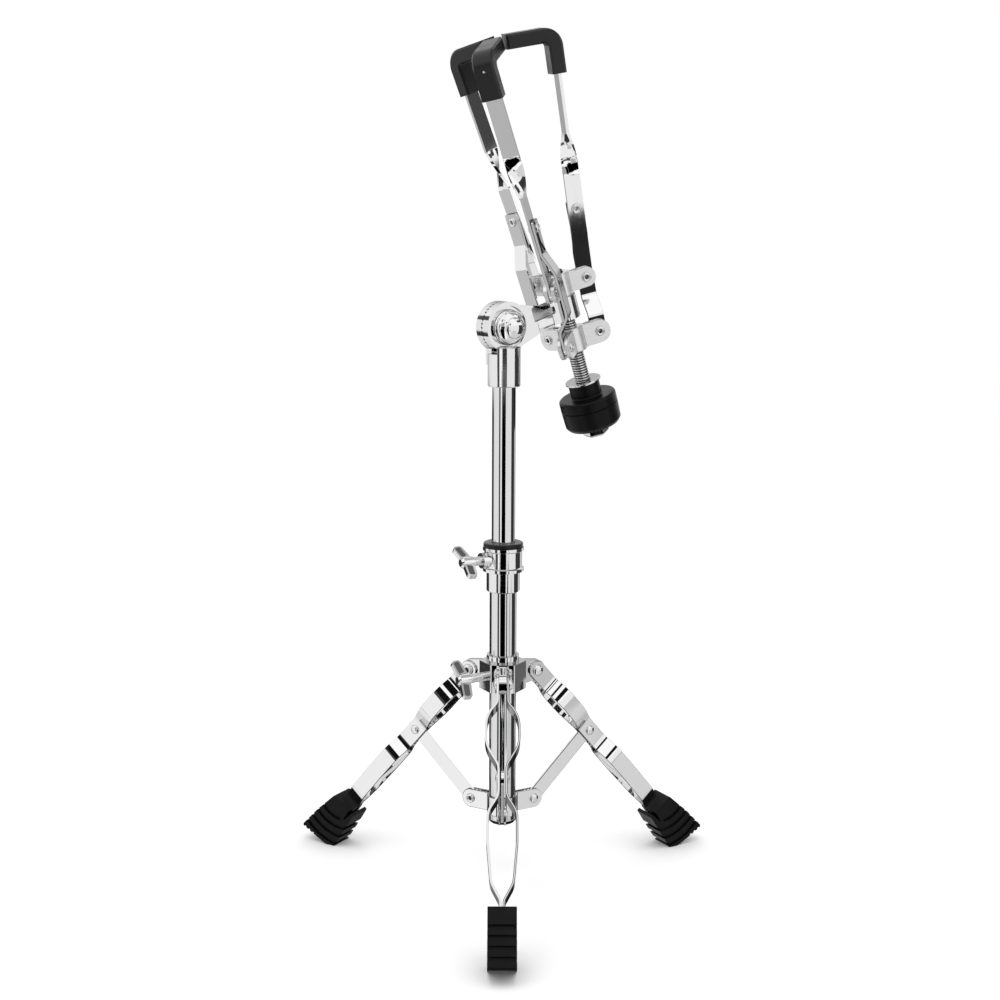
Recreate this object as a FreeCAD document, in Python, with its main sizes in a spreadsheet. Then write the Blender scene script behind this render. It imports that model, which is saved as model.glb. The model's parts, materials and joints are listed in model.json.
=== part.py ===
import FreeCAD, Part
import math
import os
import Sketcher

# Snare drum stand: tripod, telescopic column, toothed tilter and folding basket.
# Millimetres, +Z up, origin on the floor under the column's axis.
# X points right and Y points to the rear; one leg points to the front.

Vector = FreeCAD.Vector
Placement = FreeCAD.Placement
Rotation = FreeCAD.Rotation

doc = FreeCAD.newDocument("snare_stand")
sheet = doc.addObject("Spreadsheet::Sheet", "Sizes")
made = []


class Size:
    """A number together with the sheet expression that gives it."""

    def __init__(self, value, text):
        self.value = float(value)
        self.text = text

    def __float__(self):
        return self.value

    def __add__(self, other):
        return Size(self.value + float(other), "(%s + %s)" % (self.text, text_of(other)))

    def __radd__(self, other):
        return Size(float(other) + self.value, "(%s + %s)" % (text_of(other), self.text))

    def __sub__(self, other):
        return Size(self.value - float(other), "(%s - %s)" % (self.text, text_of(other)))

    def __rsub__(self, other):
        return Size(float(other) - self.value, "(%s - %s)" % (text_of(other), self.text))

    def __mul__(self, other):
        return Size(self.value * float(other), "(%s * %s)" % (self.text, text_of(other)))

    def __rmul__(self, other):
        return Size(float(other) * self.value, "(%s * %s)" % (text_of(other), self.text))

    def __truediv__(self, other):
        return Size(self.value / float(other), "(%s / %s)" % (self.text, text_of(other)))

    def __neg__(self):
        return Size(-self.value, "(0 - %s)" % self.text)


def text_of(number):
    """The expression text of a Size or of a plain number."""
    if isinstance(number, Size):
        return number.text
    return "(%.6f)" % float(number)


def size(name, value):
    """Put one named size on the sheet."""
    row = len(sheet.getUsedCells()) // 2 + 1
    sheet.set("A%d" % row, name)
    sheet.set("B%d" % row, str(value))
    sheet.setAlias("B%d" % row, name)
    return Size(value, "Sizes." + name)


# Fits
fit_gap = size("fit_gap", 0.05)
face_gap = size("face_gap", 0.3)
edge_break = size("edge_break", 0.8)

# Column
tube_r = size("tube_r", 11.1)
tube_wall = size("tube_wall", 1.2)
tube_low = size("tube_low", 55.0)
tube_high = size("tube_high", 269.5)
plug_lip = size("plug_lip", 3.0)
plug_depth = size("plug_depth", 10.0)
upper_r = size("upper_r", 9.525)
upper_wall = size("upper_wall", 1.2)
upper_low = size("upper_low", 132.0)

# Height collar and bush
collar_low = size("collar_low", 250.5)
collar_step = size("collar_step", 267.6)
collar_high = size("collar_high", 287.5)
collar_sleeve_r = size("collar_sleeve_r", 13.7)
collar_body_r = size("collar_body_r", 15.5)
collar_lip_r = size("collar_lip_r", 16.8)
collar_lip_h = size("collar_lip_h", 2.6)
bush_r = size("bush_r", 12.4)
bush_flange_r = size("bush_flange_r", 16.3)
bush_flange_h = size("bush_flange_h", 3.7)
bush_float = size("bush_float", 0.6)
bush_round = size("bush_round", 1.2)

# Wing bolts
bolt_r = size("bolt_r", 3.5)
bolt_angle = size("bolt_angle", 300.0)
bolt_seat_r = size("bolt_seat_r", 6.4)
bolt_tip_gap = size("bolt_tip_gap", 0.5)
collar_seat_x = size("collar_seat_x", 21.0)
wing_hub_r = size("wing_hub_r", 4.8)
wing_hub_h = size("wing_hub_h", 11.0)
wing_span = size("wing_span", 17.5)
wing_thick = size("wing_thick", 4.0)
wing_sweep = size("wing_sweep", 3.4)
wing_chord = size("wing_chord", 8.0)
wing_root = size("wing_root", 9.4)
wing_corner = size("wing_corner", 2.8)
wing_nose = size("wing_nose", 1.8)
wing_rim = size("wing_rim", 1.5)
wing_sink = size("wing_sink", 0.6)
collar_wing_x = size("collar_wing_x", 29.0)
collar_wing_turn = size("collar_wing_turn", 57.0)
boss_wing_x = size("boss_wing_x", 32.0)
boss_wing_turn = size("boss_wing_turn", 42.0)

# Tripod boss
boss_z = size("boss_z", 180.0)
boss_flat = size("boss_flat", 17.0)
boss_round = size("boss_round", 2.0)
boss_block_low = size("boss_block_low", 12.0)
boss_block_high = size("boss_block_high", 11.6)
boss_ring_r = size("boss_ring_r", 13.4)
boss_ring_high = size("boss_ring_high", 17.0)
ear_reach = size("ear_reach", 30.8)
ear_round = size("ear_round", 7.5)
ear_thick = size("ear_thick", 6.0)
ear_root = size("ear_root", 3.0)
leg_pin_r = size("leg_pin_r", 3.0)
leg_head_r = size("leg_head_r", 4.8)
leg_head_h = size("leg_head_h", 2.6)

# Legs
leg_splay = size("leg_splay", 41.2)
strip_thick = size("strip_thick", 1.8)
strip_width = size("strip_width", 14.5)
strip_bend = size("strip_bend", 9.0)
bulge_bend = size("bulge_bend", 26.0)
pinch_bend = size("pinch_bend", 14.0)
belly_bend = size("belly_bend", 18.0)
shoulder_end = size("shoulder_end", 19.3)
bulge_top = size("bulge_top", 13.3)
bulge_from = size("bulge_from", 29.8)
bulge_to = size("bulge_to", 55.0)
bulge_low = size("bulge_low", 11.4)
leg_rivet = size("leg_rivet", 80.8)
leg_rivet_r = size("leg_rivet_r", 2.5)
pinch_half = size("pinch_half", 3.1)
pinch_above = size("pinch_above", 8.2)
pinch_below = size("pinch_below", 16.5)
belly_from = size("belly_from", 30.0)
belly_to = size("belly_to", 104.0)
belly_end = size("belly_end", 8.6)
strip_taper = size("strip_taper", 14.0)
strip_lead = size("strip_lead", 6.0)
strip_meet = size("strip_meet", 1.25)
strip_end = size("strip_end", 28.0)

# Feet
foot_width = size("foot_width", 22.0)
foot_rise = size("foot_rise", 52.0)
foot_neck = size("foot_neck", 13.3)
foot_heel_top = size("foot_heel_top", 11.8)
foot_heel = size("foot_heel", 14.2)
foot_heel_rise = size("foot_heel_rise", 36.0)
foot_flank = size("foot_flank", 16.7)
foot_flank_rise = size("foot_flank_rise", 27.0)
foot_toe = size("foot_toe", 18.0)
toe_rise = size("toe_rise", 2.4)
foot_corner = size("foot_corner", 2.0)
flat_near = size("flat_near", 10.5)
flat_far = size("flat_far", 17.0)
sole_rise = size("sole_rise", 6.6)
sole_bend = size("sole_bend", 40.0)
rib_centre = size("rib_centre", 10.0)
rib_level = size("rib_level", 60.0)
rib_first = size("rib_first", 49.6)
rib_step = size("rib_step", 8.2)
rib_gap = size("rib_gap", 3.4)
foot_groove = size("foot_groove", 1.9)
slot_from = size("slot_from", 30.0)
slot_to = size("slot_to", -36.0)
slit_depth = size("slit_depth", 10.0)
slit_width = size("slit_width", 3.2)
tread_r = size("tread_r", 1.1)

# Spider and braces
spider_z = size("spider_z", 67.8)
spider_reach = size("spider_reach", 29.2)
spider_height = size("spider_height", 16.0)
spider_thick = size("spider_thick", 1.6)
spider_bend = size("spider_bend", 2.4)
brace_thick = size("brace_thick", 2.4)
brace_width = size("brace_width", 12.5)
spider_pin_r = size("spider_pin_r", 2.5)
small_head_r = size("small_head_r", 4.0)
small_head_h = size("small_head_h", 1.6)

# Tilter
tilt_z = size("tilt_z", 466.0)
tilt_turn = size("tilt_turn", 34.0)
tilt_lean = size("tilt_lean", 18.3)
sleeve_r = size("sleeve_r", 13.2)
sleeve_drop = size("sleeve_drop", 47.5)
sleeve_top = size("sleeve_top", 21.2)
sleeve_cap = size("sleeve_cap", 2.0)
sleeve_lip = size("sleeve_lip", 15.4)
web_inset = size("web_inset", 2.4)
web_drop = size("web_drop", 9.0)
disc_r = size("disc_r", 20.3)
disc_mid = size("disc_mid", 2.0)
disc_gap = size("disc_gap", 0.4)
disc_thick = size("disc_thick", 8.0)
tooth_depth = size("tooth_depth", 0.9)
tooth_width = size("tooth_width", 1.1)
tooth_inner = size("tooth_inner", 14.0)
tilt_bolt_r = size("tilt_bolt_r", 4.0)
dome_r = size("dome_r", 13.4)
dome_h = size("dome_h", 7.5)
bolt_cap_r = size("bolt_cap_r", 8.6)
bolt_cap_h = size("bolt_cap_h", 3.0)
tilt_boss_r = size("tilt_boss_r", 14.3)
tilt_boss_h = size("tilt_boss_h", 2.4)
tilt_rim = size("tilt_rim", 3.2)
tilt_dish = size("tilt_dish", 2.4)
tilt_round = size("tilt_round", 2.6)
tilt_bolt_tail = size("tilt_bolt_tail", 13.0)
knee_top = size("knee_top", 37.0)
knee_low = size("knee_low", 33.0)
knee_blend = size("knee_blend", 14.0)
panel_gap = size("panel_gap", 4.7)
panel_rim = size("panel_rim", 3.4)
panel_rise = size("panel_rise", 8.0)
panel_drop = size("panel_drop", 5.2)
panel_round = size("panel_round", 1.5)
panel_depth = size("panel_depth", 2.0)
nut_flange = size("nut_flange", 3.2)
nut_flange_h = size("nut_flange_h", 2.0)
nut_wing_turn = size("nut_wing_turn", 25.0)

# Basket
rod_offset = size("rod_offset", 60.0)
rod_r = size("rod_r", 6.5)
rod_high = size("rod_high", 26.0)
rod_low = size("rod_low", -110.4)
rod_chamfer = size("rod_chamfer", 1.4)
ring_r = size("ring_r", 11.5)
ring_low = size("ring_low", -14.5)
ring_high = size("ring_high", 4.4)
crown_w = size("crown_w", 14.0)
slider_w = size("slider_w", -32.7)
hub_r = size("hub_r", 10.5)
lug_root = size("lug_root", 3.0)
slot_root = size("slot_root", 1.2)
lug_trim = size("lug_trim", 1.0)
clevis_reach = size("clevis_reach", 23.4)
clevis_outer = size("clevis_outer", 9.0)
clevis_slot = size("clevis_slot", 3.0)
crown_half = size("crown_half", 9.4)
slider_half = size("slider_half", 10.2)
clevis_pin_r = size("clevis_pin_r", 2.5)
basket_spin = size("basket_spin", -20.3)
tip_gap = size("tip_gap", 1.35)
arm_thick = size("arm_thick", 2.4)
arm_width = size("arm_width", 13.2)
arm_rivet = size("arm_rivet", 55.6)
arm_rivet_r = size("arm_rivet_r", 2.2)
twist_low = size("twist_low", 82.0)
twist_high = size("twist_high", 116.0)
hook_high = size("hook_high", 192.5)
hook_reach = size("hook_reach", 35.5)
hook_bend = size("hook_bend", 9.0)
grip_low = size("grip_low", 162.5)
grip_reach = size("grip_reach", 38.6)
grip_thick = size("grip_thick", 11.6)
grip_width = size("grip_width", 17.0)
grip_bevel = size("grip_bevel", 1.5)
grip_hole_r = size("grip_hole_r", 1.3)
grip_hole_rise = size("grip_hole_rise", 22.0)
strut_bow = size("strut_bow", 9.5)
strut_side = size("strut_side", 2.7)
strut_bend = size("strut_bend", 9.0)
strut_leave = size("strut_leave", 15.0)
strut_out = size("strut_out", 27.0)
strut_back = size("strut_back", 38.0)
strut_rejoin = size("strut_rejoin", 21.0)
strut_corner = size("strut_corner", 1.5)
washer_r = size("washer_r", 14.8)
washer_h = size("washer_h", 1.6)
washer_w = size("washer_w", -68.8)
knob_neck_r = size("knob_neck_r", 13.0)
knob_neck_h = size("knob_neck_h", 12.0)
knob_r = size("knob_r", 24.0)
knob_low = size("knob_low", -109.0)
knob_seam = size("knob_seam", 1.0)
knob_seam_rise = size("knob_seam_rise", 4.2)
knob_round = size("knob_round", 2.6)
knob_fillet = size("knob_fillet", 1.5)
knob_chamfer = size("knob_chamfer", 3.0)
washer_break = size("washer_break", 0.4)
insert_r = size("insert_r", 11.0)
insert_h = size("insert_h", 2.4)

doc.recompute()

LEG_STEP = 120.0
LEG_ANGLES = (0.0, LEG_STEP, 2.0 * LEG_STEP)
ARM_STEP = 120.0
SPIDER_LEAD = 20.0
TOOTH_COUNT = 40
RIB_COUNT = 3
TREAD_COUNT = 3
TWIST_STEPS = 6
DOME_STEPS = 6

# A full round keeps a short straight piece between its two arcs
FULL_ROUND = 0.98
ROUND_LEFT = 0.2

# Cuts run this far past the faces that they open
CUT_OVER = 1.0

PLANE_SIGN = {"XY_Plane": 1.0, "XZ_Plane": -1.0, "YZ_Plane": 1.0}


def bind(item, name, amount):
    """Tie a property to the sheet."""
    item.setExpression(name, text_of(amount))


def new_body(label):
    """An empty body; its label names the node."""
    body = doc.addObject("PartDesign::Body", label)
    body.Label = label
    return body


def keep(item):
    """Count a finished object among the nodes."""
    made.append(item)
    return item


def origin_part(body, role):
    """A plane or axis of the body's own origin."""
    found = [item for item in body.Origin.OriginFeatures if item.Role == role]
    return found[0]


def plane_sketch(body, role, shift=None):
    """A sketch on one of the body's planes, moved along that plane's positive axis."""
    sketch = body.newObject("Sketcher::SketchObject", "Outline")
    sketch.AttachmentSupport = [(origin_part(body, role), "")]
    sketch.MapMode = "FlatFace"
    if shift is not None:
        bind(sketch, "AttachmentOffset.Base.z", shift * PLANE_SIGN[role])
    return sketch


def fix_point(sketch, geometry, end, across, up):
    """Hold one point of a sketch at sheet sizes."""
    rows = (("DistanceX", across, -2, "x"), ("DistanceY", up, -1, "y"))
    for kind, amount, axis, letter in rows:
        if not isinstance(amount, Size) and abs(float(amount)) < 1e-9:
            sketch.addConstraint(Sketcher.Constraint("PointOnObject", geometry, end, axis))
            continue
        index = sketch.addConstraint(Sketcher.Constraint(kind, -1, 1, geometry, end, float(amount)))
        name = "%s%d_%d" % (letter, geometry, end)
        sketch.renameConstraint(index, name)
        bind(sketch, "Constraints." + name, amount)


def polygon(sketch, points):
    """A closed outline of straight lines with every corner held by the sheet."""
    count = len(points)
    for index in range(count):
        start = points[index]
        end = points[(index + 1) % count]
        first = Vector(float(start[0]), float(start[1]), 0)
        second = Vector(float(end[0]), float(end[1]), 0)
        sketch.addGeometry(Part.LineSegment(first, second), False)
    for index in range(count):
        sketch.addConstraint(Sketcher.Constraint("Coincident", index, 2, (index + 1) % count, 1))
    for index in range(count):
        fix_point(sketch, index, 1, points[index][0], points[index][1])


def circle(sketch, across, up, radius):
    """A circle held by the sheet."""
    centre = Vector(float(across), float(up), 0)
    index = sketch.addGeometry(Part.Circle(centre, Vector(0, 0, 1), float(radius)), False)
    row = sketch.addConstraint(Sketcher.Constraint("Radius", index, float(radius)))
    name = "r%d" % index
    sketch.renameConstraint(row, name)
    bind(sketch, "Constraints." + name, radius)
    fix_point(sketch, index, 3, across, up)


def rounded(sketch, corners):
    """A closed outline from (across, up, corner radius) triples."""
    points = [Vector(float(across), float(up), 0) for across, up, _ in corners]
    count = len(points)
    starts = []
    ends = []
    arcs = []
    for index in range(count):
        here = points[index]
        back = (points[index - 1] - here).normalize()
        ahead = (points[(index + 1) % count] - here).normalize()
        radius = float(corners[index][2])
        half = back.getAngle(ahead) / 2.0
        if radius < 1e-6 or half > math.pi / 2.0 - 1e-4:
            starts.append(here)
            ends.append(here)
            arcs.append(None)
            continue
        run = radius / math.tan(half)
        middle = (back + ahead).normalize()
        top = here + middle * (radius / math.sin(half) - radius)
        starts.append(here + back * run)
        ends.append(here + ahead * run)
        arcs.append(top)
    for index in range(count):
        if arcs[index] is not None:
            sketch.addGeometry(Part.Arc(starts[index], arcs[index], ends[index]), False)
        following = starts[(index + 1) % count]
        if (following - ends[index]).Length > 1e-6:
            sketch.addGeometry(Part.LineSegment(ends[index], following), False)


def strip_corners(path, thick, bends):
    """Corner triples of a bent strip round its middle line, with one bend radius for each point."""
    half = float(thick) / 2.0
    points = [Vector(float(across), float(up), 0) for across, up in path]
    count = len(points)
    left = []
    right = []
    for index in range(count):
        before = points[max(index - 1, 0)]
        here = points[index]
        after = points[min(index + 1, count - 1)]
        if index == 0:
            before = here - (after - here)
        if index == count - 1:
            after = here + (here - before)
        come = (here - before).normalize()
        leave = (after - here).normalize()
        side_in = Vector(-come.y, come.x, 0)
        side_out = Vector(-leave.y, leave.x, 0)
        middle = (side_in + side_out).normalize()
        reach = half / middle.dot(side_in)
        turn = come.x * leave.y - come.y * leave.x
        inner = 0.0
        outer = 0.0
        if abs(turn) > 1e-6:
            inner = max(float(bends[index]) - half, 0.2)
            outer = float(bends[index]) + half
        if turn < 0:
            inner, outer = outer, inner
        upper = here + middle * reach
        lower = here - middle * reach
        left.append((upper.x, upper.y, inner))
        right.append((lower.x, lower.y, outer))
    return right + left[::-1]


def slab(body, role, low, high, draw, cut=False):
    """Pad or pocket an outline between two levels along the plane's positive axis."""
    middle = (low + high) / 2.0
    sketch = plane_sketch(body, role, middle)
    draw(sketch)
    kind = "PartDesign::Pocket" if cut else "PartDesign::Pad"
    feature = body.newObject(kind, "Slab")
    feature.Profile = sketch
    feature.SideType = "Symmetric"
    bind(feature, "Length", high - low)
    body.Tip = feature
    return feature


def turned(body, points, cut=False, axis="V_Axis"):
    """Turn an outline in the XZ plane round one of its axes."""
    sketch = plane_sketch(body, "XZ_Plane")
    polygon(sketch, points)
    feature = body.newObject("PartDesign::Groove" if cut else "PartDesign::Revolution", "Turned")
    feature.Profile = sketch
    feature.ReferenceAxis = (sketch, [axis])
    feature.Angle = 360.0
    body.Tip = feature
    return feature


def polar(body, features, count=3):
    """Repeat features round the body's Z axis."""
    pattern = body.newObject("PartDesign::PolarPattern", "Round")
    pattern.Originals = features
    pattern.Axis = (origin_part(body, "Z_Axis"), [""])
    pattern.Angle = 360.0
    pattern.Occurrences = count
    body.Tip = pattern
    return pattern


def soften(body, width, wanted, kind="Fillet"):
    """Fillet or chamfer the edges that a test picks on the body's present shape."""
    doc.recompute()
    tip = body.Tip
    names = []
    for index, edge in enumerate(tip.Shape.Edges):
        if wanted(edge):
            names.append("Edge%d" % (index + 1))
    soft = body.newObject("PartDesign::" + kind, "Soft")
    soft.Base = (tip, names)
    bind(soft, "Radius" if kind == "Fillet" else "Size", width)
    body.Tip = soft
    return soft


def spin(degrees):
    """Turn about the vertical."""
    return Placement(Vector(), Rotation(Vector(0, 0, 1), float(degrees)))


def lean(degrees):
    """Turn about the tangential axis; positive tips the top outward."""
    return Placement(Vector(), Rotation(Vector(0, 1, 0), float(degrees)))


def move(across, along, up):
    """A plain shift."""
    return Placement(Vector(float(across), float(along), float(up)), Rotation())


def station(angle):
    """Frame on the column's axis whose X points to a bearing counted from the front."""
    return spin(angle - 90.0)


def group(label, template, places):
    """Separate equal fasteners kept together as one node."""
    doc.recompute()
    solids = []
    for place in places:
        solid = template.Shape.copy()
        solid.Placement = place
        solids.append(solid)
    feature = doc.addObject("Part::Feature", label)
    feature.Label = label
    feature.Shape = Part.makeCompound(solids)
    return keep(feature)


# Column

def build_lower_tube():
    """Plain tube with an open top inside the collar."""
    body = new_body("lower_tube")
    inner = tube_r - tube_wall
    turned(body, [(inner, tube_low), (tube_r, tube_low), (tube_r, tube_high), (inner, tube_high)])
    return keep(body)


def build_tube_plug():
    """Plug pushed into the lower end."""
    body = new_body("tube_plug")
    inner = tube_r - tube_wall
    turned(body, [
        (0, tube_low - plug_lip),
        (tube_r - plug_lip / 2.0, tube_low - plug_lip),
        (tube_r, tube_low - plug_lip / 2.0),
        (tube_r, tube_low),
        (inner, tube_low),
        (inner, tube_low + plug_depth),
        (0, tube_low + plug_depth),
    ])
    return keep(body)


def build_height_collar():
    """Stepped collar with two lips and a boss for the wing bolt."""
    body = new_body("height_collar")
    bolt_z = (collar_step + collar_high) / 2.0
    turned(body, [
        (0, collar_low),
        (collar_sleeve_r - edge_break, collar_low),
        (collar_sleeve_r, collar_low + edge_break),
        (collar_sleeve_r, collar_step),
        (collar_lip_r, collar_step),
        (collar_lip_r, collar_step + collar_lip_h),
        (collar_body_r, collar_step + collar_lip_h + edge_break),
        (collar_body_r, collar_high - collar_lip_h - edge_break),
        (collar_lip_r, collar_high - collar_lip_h),
        (collar_lip_r, collar_high),
        (0, collar_high),
    ])
    slab(body, "YZ_Plane", 0, collar_seat_x, lambda sketch: circle(sketch, 0, bolt_z, bolt_seat_r))
    turned(body, [
        (0, collar_low - CUT_OVER),
        (tube_r, collar_low - CUT_OVER),
        (tube_r, tube_high),
        (bush_r + fit_gap, tube_high),
        (bush_r + fit_gap, collar_high + CUT_OVER),
        (0, collar_high + CUT_OVER),
    ], cut=True)
    slab(body, "YZ_Plane", 0, collar_seat_x + CUT_OVER,
         lambda sketch: circle(sketch, 0, bolt_z, bolt_r + fit_gap), cut=True)
    body.Placement = station(float(bolt_angle))
    return keep(body)


def build_collar_bush():
    """Nylon bush between collar and upper tube, with a flange on top."""
    body = new_body("collar_bush")
    seat = collar_high + fit_gap
    inner = upper_r + fit_gap
    turned(body, [
        (inner, tube_high + bush_float),
        (bush_r, tube_high + bush_float),
        (bush_r, seat),
        (bush_flange_r - edge_break, seat),
        (bush_flange_r, seat + edge_break),
        (bush_flange_r, seat + bush_flange_h - bush_round),
        (bush_flange_r - bush_round, seat + bush_flange_h),
        (inner + edge_break, seat + bush_flange_h),
        (inner, seat + bush_flange_h - edge_break),
    ])
    return keep(body)


def blade_corners(start, side, rim):
    """Corner triples of one swept blade, drawn in by a rim."""
    hub = float(wing_hub_r) * 0.6
    inset = float(rim)
    span = float(wing_span) - inset
    lead = float(start) + inset
    trail = float(start) + float(wing_root) - inset
    tip = float(start) + float(wing_sweep) + inset
    corner = float(wing_corner) - inset * 0.8
    return [
        (lead + inset, side * (hub + inset * 2.0), corner / 2.0),
        (tip, side * span, corner),
        (tip + float(wing_chord) - inset * 2.0, side * (span - float(edge_break)), corner),
        (trail, side * (hub + inset * 1.2), corner / 2.0),
    ]


def wing_outline(sketch, start):
    """Two swept blades seen along their thickness."""
    near = blade_corners(start, -1.0, 0)
    far = blade_corners(start, 1.0, 0)
    near[0] = near[0][:2] + (0,)
    far[0] = far[0][:2] + (0,)
    rounded(sketch, near + far[::-1])


def add_wings(body, start):
    """Two blades with a sunk panel on each face."""
    half = wing_thick / 2.0
    slab(body, "XZ_Plane", -half, half, lambda sketch: wing_outline(sketch, start))

    def panels(sketch):
        for side in (-1.0, 1.0):
            rounded(sketch, blade_corners(start, side, wing_rim))

    slab(body, "XZ_Plane", half - wing_sink, half + CUT_OVER, panels, cut=True)
    slab(body, "XZ_Plane", -half - CUT_OVER, wing_sink - half, panels, cut=True)


def build_wing_bolt(label, tip, start, place):
    """Bolt along X with a hub and two blades."""
    body = new_body(label)
    turned(body, [
        (tip, 0),
        (tip, bolt_r - edge_break),
        (tip + edge_break, bolt_r),
        (start - edge_break, bolt_r),
        (start, wing_hub_r),
        (start + wing_hub_h - wing_nose, wing_hub_r),
        (start + wing_hub_h, wing_hub_r - wing_nose),
        (start + wing_hub_h, 0),
    ], axis="H_Axis")
    add_wings(body, start)
    body.Placement = place
    return keep(body)


def build_column_bolts():
    """The height bolt and the boss bolt."""
    collar_z = (collar_step + collar_high) / 2.0
    place = station(float(bolt_angle)).multiply(move(0, 0, collar_z))
    twist = Placement(Vector(), Rotation(Vector(1, 0, 0), float(collar_wing_turn)))
    build_wing_bolt("height_wing_bolt", bush_r + fit_gap + bolt_tip_gap, collar_wing_x, place.multiply(twist))
    place = station(float(bolt_angle)).multiply(move(0, 0, boss_z))
    twist = Placement(Vector(), Rotation(Vector(1, 0, 0), float(boss_wing_turn)))
    build_wing_bolt("boss_wing_bolt", tube_r + bolt_tip_gap, boss_wing_x, place.multiply(twist))


def build_upper_tube():
    """Sliding tube that carries the tilter."""
    body = new_body("upper_tube")
    inner = upper_r - upper_wall
    top = tilt_z - sleeve_top - sleeve_cap
    turned(body, [(inner, upper_low), (upper_r, upper_low), (upper_r, top), (inner, top)])
    return keep(body)


# Tripod

def hexagon(sketch):
    """Six flats across the block, one behind each ear."""
    corner = float(boss_flat) / math.cos(math.radians(30.0))
    corners = []
    for index in range(6):
        angle = math.radians(30.0 + 60.0 * index)
        corners.append((corner * math.cos(angle), corner * math.sin(angle), boss_round))
    rounded(sketch, corners)


def ear_outline(sketch):
    """Ear tapering from the block to its round end."""
    end = ear_reach + ear_round
    root = boss_flat - ear_root
    rounded(sketch, [
        (root, edge_break - boss_block_low, 0),
        (end, -ear_round, ear_round * FULL_ROUND),
        (end, ear_round, ear_round * FULL_ROUND),
        (root, boss_block_high - edge_break, 0),
    ])


def build_tripod_boss():
    """Sliding casting: hexagonal block, ring on top and three ears."""
    body = new_body("tripod_boss")
    slab(body, "XY_Plane", -boss_block_low, boss_block_high, hexagon)
    slab(body, "XY_Plane", 0, boss_ring_high, lambda sketch: circle(sketch, 0, 0, boss_ring_r))
    ear = slab(body, "XZ_Plane", -ear_thick / 2.0, ear_thick / 2.0, ear_outline)
    polar(body, [ear])
    hole = slab(body, "XZ_Plane", -ear_thick, ear_thick,
                lambda sketch: circle(sketch, ear_reach, 0, leg_pin_r), cut=True)
    polar(body, [hole])
    bore = tube_r + fit_gap
    turned(body, [
        (0, -boss_block_low - CUT_OVER),
        (bore, -boss_block_low - CUT_OVER),
        (bore, boss_ring_high + CUT_OVER),
        (0, boss_ring_high + CUT_OVER),
    ], cut=True)
    sketch = body.newObject("Sketcher::SketchObject", "Outline")
    sketch.AttachmentSupport = [(origin_part(body, "YZ_Plane"), "")]
    sketch.MapMode = "FlatFace"
    sketch.AttachmentOffset = Placement(Vector(), Rotation(Vector(0, 1, 0), float(bolt_angle)))
    circle(sketch, 0, 0, bolt_r + fit_gap)
    way = body.newObject("PartDesign::Pocket", "BoltWay")
    way.Profile = sketch
    way.Reversed = True
    bind(way, "Length", boss_flat * 1.2)
    body.Tip = way
    body.Placement = station(LEG_ANGLES[0]).multiply(move(0, 0, boss_z))
    return keep(body)


def dome(seat, height, radius):
    """Outline of a domed head along its axis, from its rim to its crown."""
    points = []
    for step in range(DOME_STEPS):
        turn = math.radians(90.0 * step / DOME_STEPS)
        points.append((seat + height * math.sin(turn), radius * math.cos(turn)))
    points.append((seat + height, 0))
    return points


def build_headed_pin(label, pin_r, grip, head_r, head_h):
    """Rivet along X with a domed head at each end."""
    body = new_body(label)
    half = grip / 2.0
    near = [(-along, radius) for along, radius in dome(half, head_h, head_r)]
    turned(body, near[::-1] + [(-half, pin_r), (half, pin_r)] + dome(half, head_h, head_r), axis="H_Axis")
    return body


def build_headed_stub(label, pin_r, depth, head_r, head_h):
    """Half rivet along X: a shank and one domed head."""
    body = new_body(label)
    turned(body, [(0, 0), (0, pin_r), (depth, pin_r)] + dome(depth, head_h, head_r), axis="H_Axis")
    return body


QUARTER = Placement(Vector(), Rotation(Vector(0, 0, 1), 90.0))
BACK_QUARTER = Placement(Vector(), Rotation(Vector(0, 0, 1), -90.0))


def ear_strip_half():
    """Distance of a strip's middle from the leg's middle plane at the ear."""
    return ear_thick / 2.0 + face_gap + strip_thick / 2.0


def build_boss_rivets():
    """The three pins on which the legs swing."""
    grip = (ear_strip_half() + strip_thick / 2.0 + fit_gap) * 2.0
    template = build_headed_pin("leg_pin_form", leg_pin_r, grip, leg_head_r, leg_head_h)
    places = []
    for angle in LEG_ANGLES:
        places.append(station(angle).multiply(move(ear_reach, 0, boss_z)).multiply(QUARTER))
    group("boss_rivets", template, places)


def leg_run():
    """Length of the leg's middle line from pivot to floor."""
    return float(boss_z) / math.cos(math.radians(float(leg_splay)))


def leg_frame(angle):
    """Frame at a leg's pivot: X across the strips' width, Z up along the leg."""
    place = station(angle).multiply(move(ear_reach, 0, boss_z))
    return place.multiply(lean(-float(leg_splay)))


def strip_path(side):
    """Middle line of one strip as (tangential, up along the leg) pairs, and its bend radii."""
    run = leg_run()
    meet = foot_rise + strip_lead - run
    rows = [
        (ear_strip_half(), ear_round, strip_bend),
        (ear_strip_half(), -shoulder_end, strip_bend),
        (bulge_top, -bulge_from, bulge_bend),
        (bulge_top, -bulge_to, bulge_bend),
        (pinch_half, pinch_above - leg_rivet, pinch_bend),
        (pinch_half, -pinch_below - leg_rivet, pinch_bend),
        (bulge_low, -belly_from - leg_rivet, belly_bend),
        (bulge_low, belly_to - run, belly_bend),
        (belly_end, meet + strip_taper, belly_bend),
        (strip_meet, meet, strip_bend),
        (strip_meet, strip_end - run, strip_bend),
    ]
    path = [(side * across, up) for across, up, _ in rows]
    return path, [bend for _, _, bend in rows]


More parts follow.
